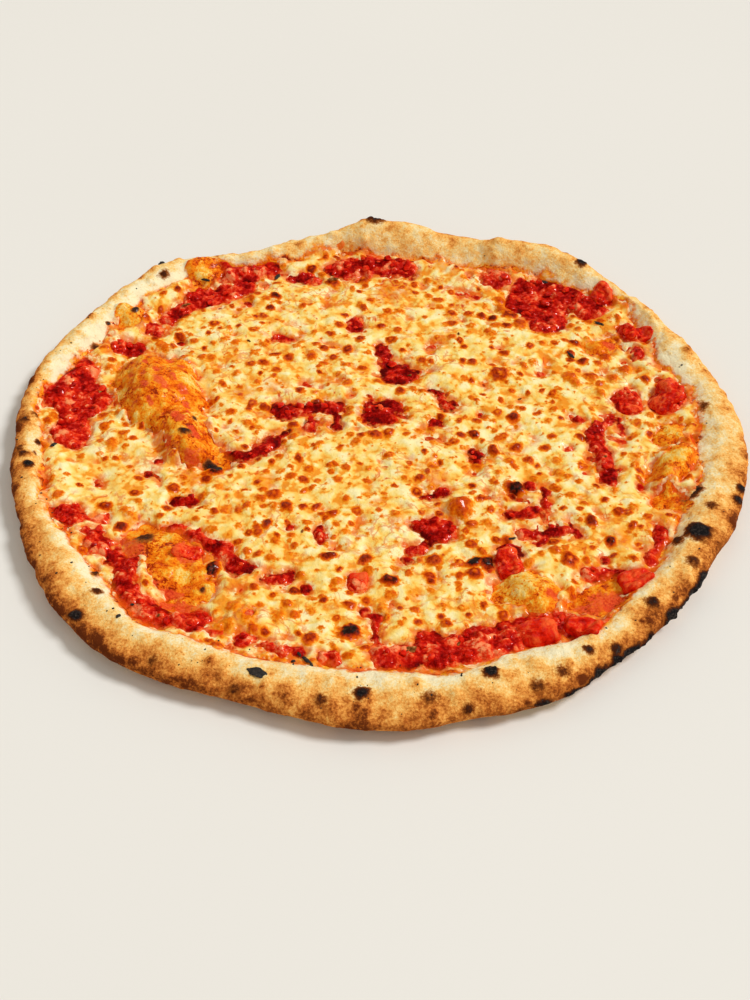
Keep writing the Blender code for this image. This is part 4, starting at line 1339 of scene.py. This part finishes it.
def buildCrumbs(pieces, tomato):
    looks = crumbLooks
    grid = hexGrid(looks["bitGap"], looks["bitReach"])
    grid = grid + draws.uniform(-0.45, 0.45, grid.shape) * looks["bitGap"]
    grid = grid[(cheeseField(*grid.T) < -1.2) & (sauceField(*grid.T) > 2)]
    length = draws.uniform(*looks["bitSize"], len(grid))
    width = length * draws.uniform(0.55, 0.9, len(grid))
    azimuth = draws.uniform(0, 180, len(grid))
    bits = np.column_stack([grid, length, width, width * looks["bitHeight"], azimuth])
    addCrumbs("tomato_bits", bits, 3, pieces, tomato, 95)
    char = charFinish()
    flakes = [(*flake[:4], looks["flakeHeight"], flake[4]) for flake in looks["flakes"]]
    addCrumbs("burnt_flakes", flakes, 4, pieces, char, 96)
    herbs = [(*herb[:4], looks["herbHeight"], herb[4]) for herb in looks["herbs"]]
    addCrumbs("herb_flecks", herbs, 3, pieces, herbFinish(), 97)
    count = looks["ash"]
    azimuth = draws.normal(250, 75, count)
    across = draws.uniform(0.1, 1.1, count)
    x, y = rimPlace(azimuth, across)
    low, high = looks["ashSize"]
    size = low + (high - low) * draws.uniform(0, 1, count) ** 2.5
    ash = np.column_stack([x, y, size, size * 0.7, size * 0.5, azimuth])
    addCrumbs("ash_specks", ash, 1, pieces, char, 98)


print("crust")
crust = buildCrust(crustFinish())
print("sauce")
sauce = buildSauce(sauceFinish())
print("cheese")
cheese = buildCheese(cheeseFinish())
print("tomato chunks")
tomato = chunkFinish()
for number, chunk in enumerate(topping["chunks"], 1):
    buildChunk(number, chunk, tomato)
print("crumbs")
bpy.context.view_layer.update()
buildCrumbs([crust, sauce, cheese], tomato)


studio = {
    "floorSize": 6.0,           # metres, like the aim and the distance
    "keyDirection": (0.65, 0.1, 0.75),
    "keySpread": 18,            # degrees across, which softens its shadows
    "keyStrength": 2.21,
    "keyColour": (0.961, 0.981, 1.0),
    "skyStrength": 0.52,
    "skyColour": (1.0, 0.945, 0.86, 1.0),
    "aim": (-0.0013, -0.0321, 0.0),
    "elevation": 44.4,          # of the camera, in degrees
    "distance": 0.62,
    "lens": 52,
    "sensorWidth": 36,
}


def addFloor():
    half = studio["floorSize"] / 2
    mesh = bpy.data.meshes.new("floor")
    corners = [(-half, -half, 0), (half, -half, 0), (half, half, 0), (-half, half, 0)]
    mesh.from_pydata(corners, [], [(0, 1, 2, 3)])
    floor = bpy.data.objects.new("floor", mesh)
    finish = Finish("Pale floor", Roughness=0.7)
    colour = finish.mix(finish.noise(300, 1), paint(232, 229, 222), paint(236, 233, 226))
    finish.surface("Base Color", colour)
    mesh.materials.append(finish.material)
    bpy.context.collection.objects.link(floor)


def aimed(thing, target):
    thing.rotation_euler = (Vector(target) - thing.location).to_track_quat("-Z", "Y").to_euler()


def addLights():
    key = bpy.data.lights.new("key", "SUN")
    key.angle = math.radians(studio["keySpread"])
    key.energy = studio["keyStrength"]
    key.color = studio["keyColour"]
    lamp = bpy.data.objects.new("key", key)
    lamp.location = studio["keyDirection"]
    aimed(lamp, (0, 0, 0))
    bpy.context.collection.objects.link(lamp)
    world = bpy.data.worlds.new("soft sky")
    world.use_nodes = True
    sky = world.node_tree.nodes["Background"]
    sky.inputs["Color"].default_value = studio["skyColour"]
    sky.inputs["Strength"].default_value = studio["skyStrength"]
    bpy.context.scene.world = world


def addCamera():
    view = bpy.data.cameras.new("camera")
    view.lens = studio["lens"]
    view.sensor_width = studio["sensorWidth"]
    camera = bpy.data.objects.new("camera", view)
    slant = math.radians(studio["elevation"])
    aim = Vector(studio["aim"])
    camera.location = aim + Vector((0, -math.cos(slant), math.sin(slant))) * studio["distance"]
    aimed(camera, aim)
    bpy.context.collection.objects.link(camera)
    bpy.context.scene.camera = camera


print("floor, light and camera")
addFloor()
addLights()
addCamera()
bpy.context.scene.view_settings.view_transform = "Standard"
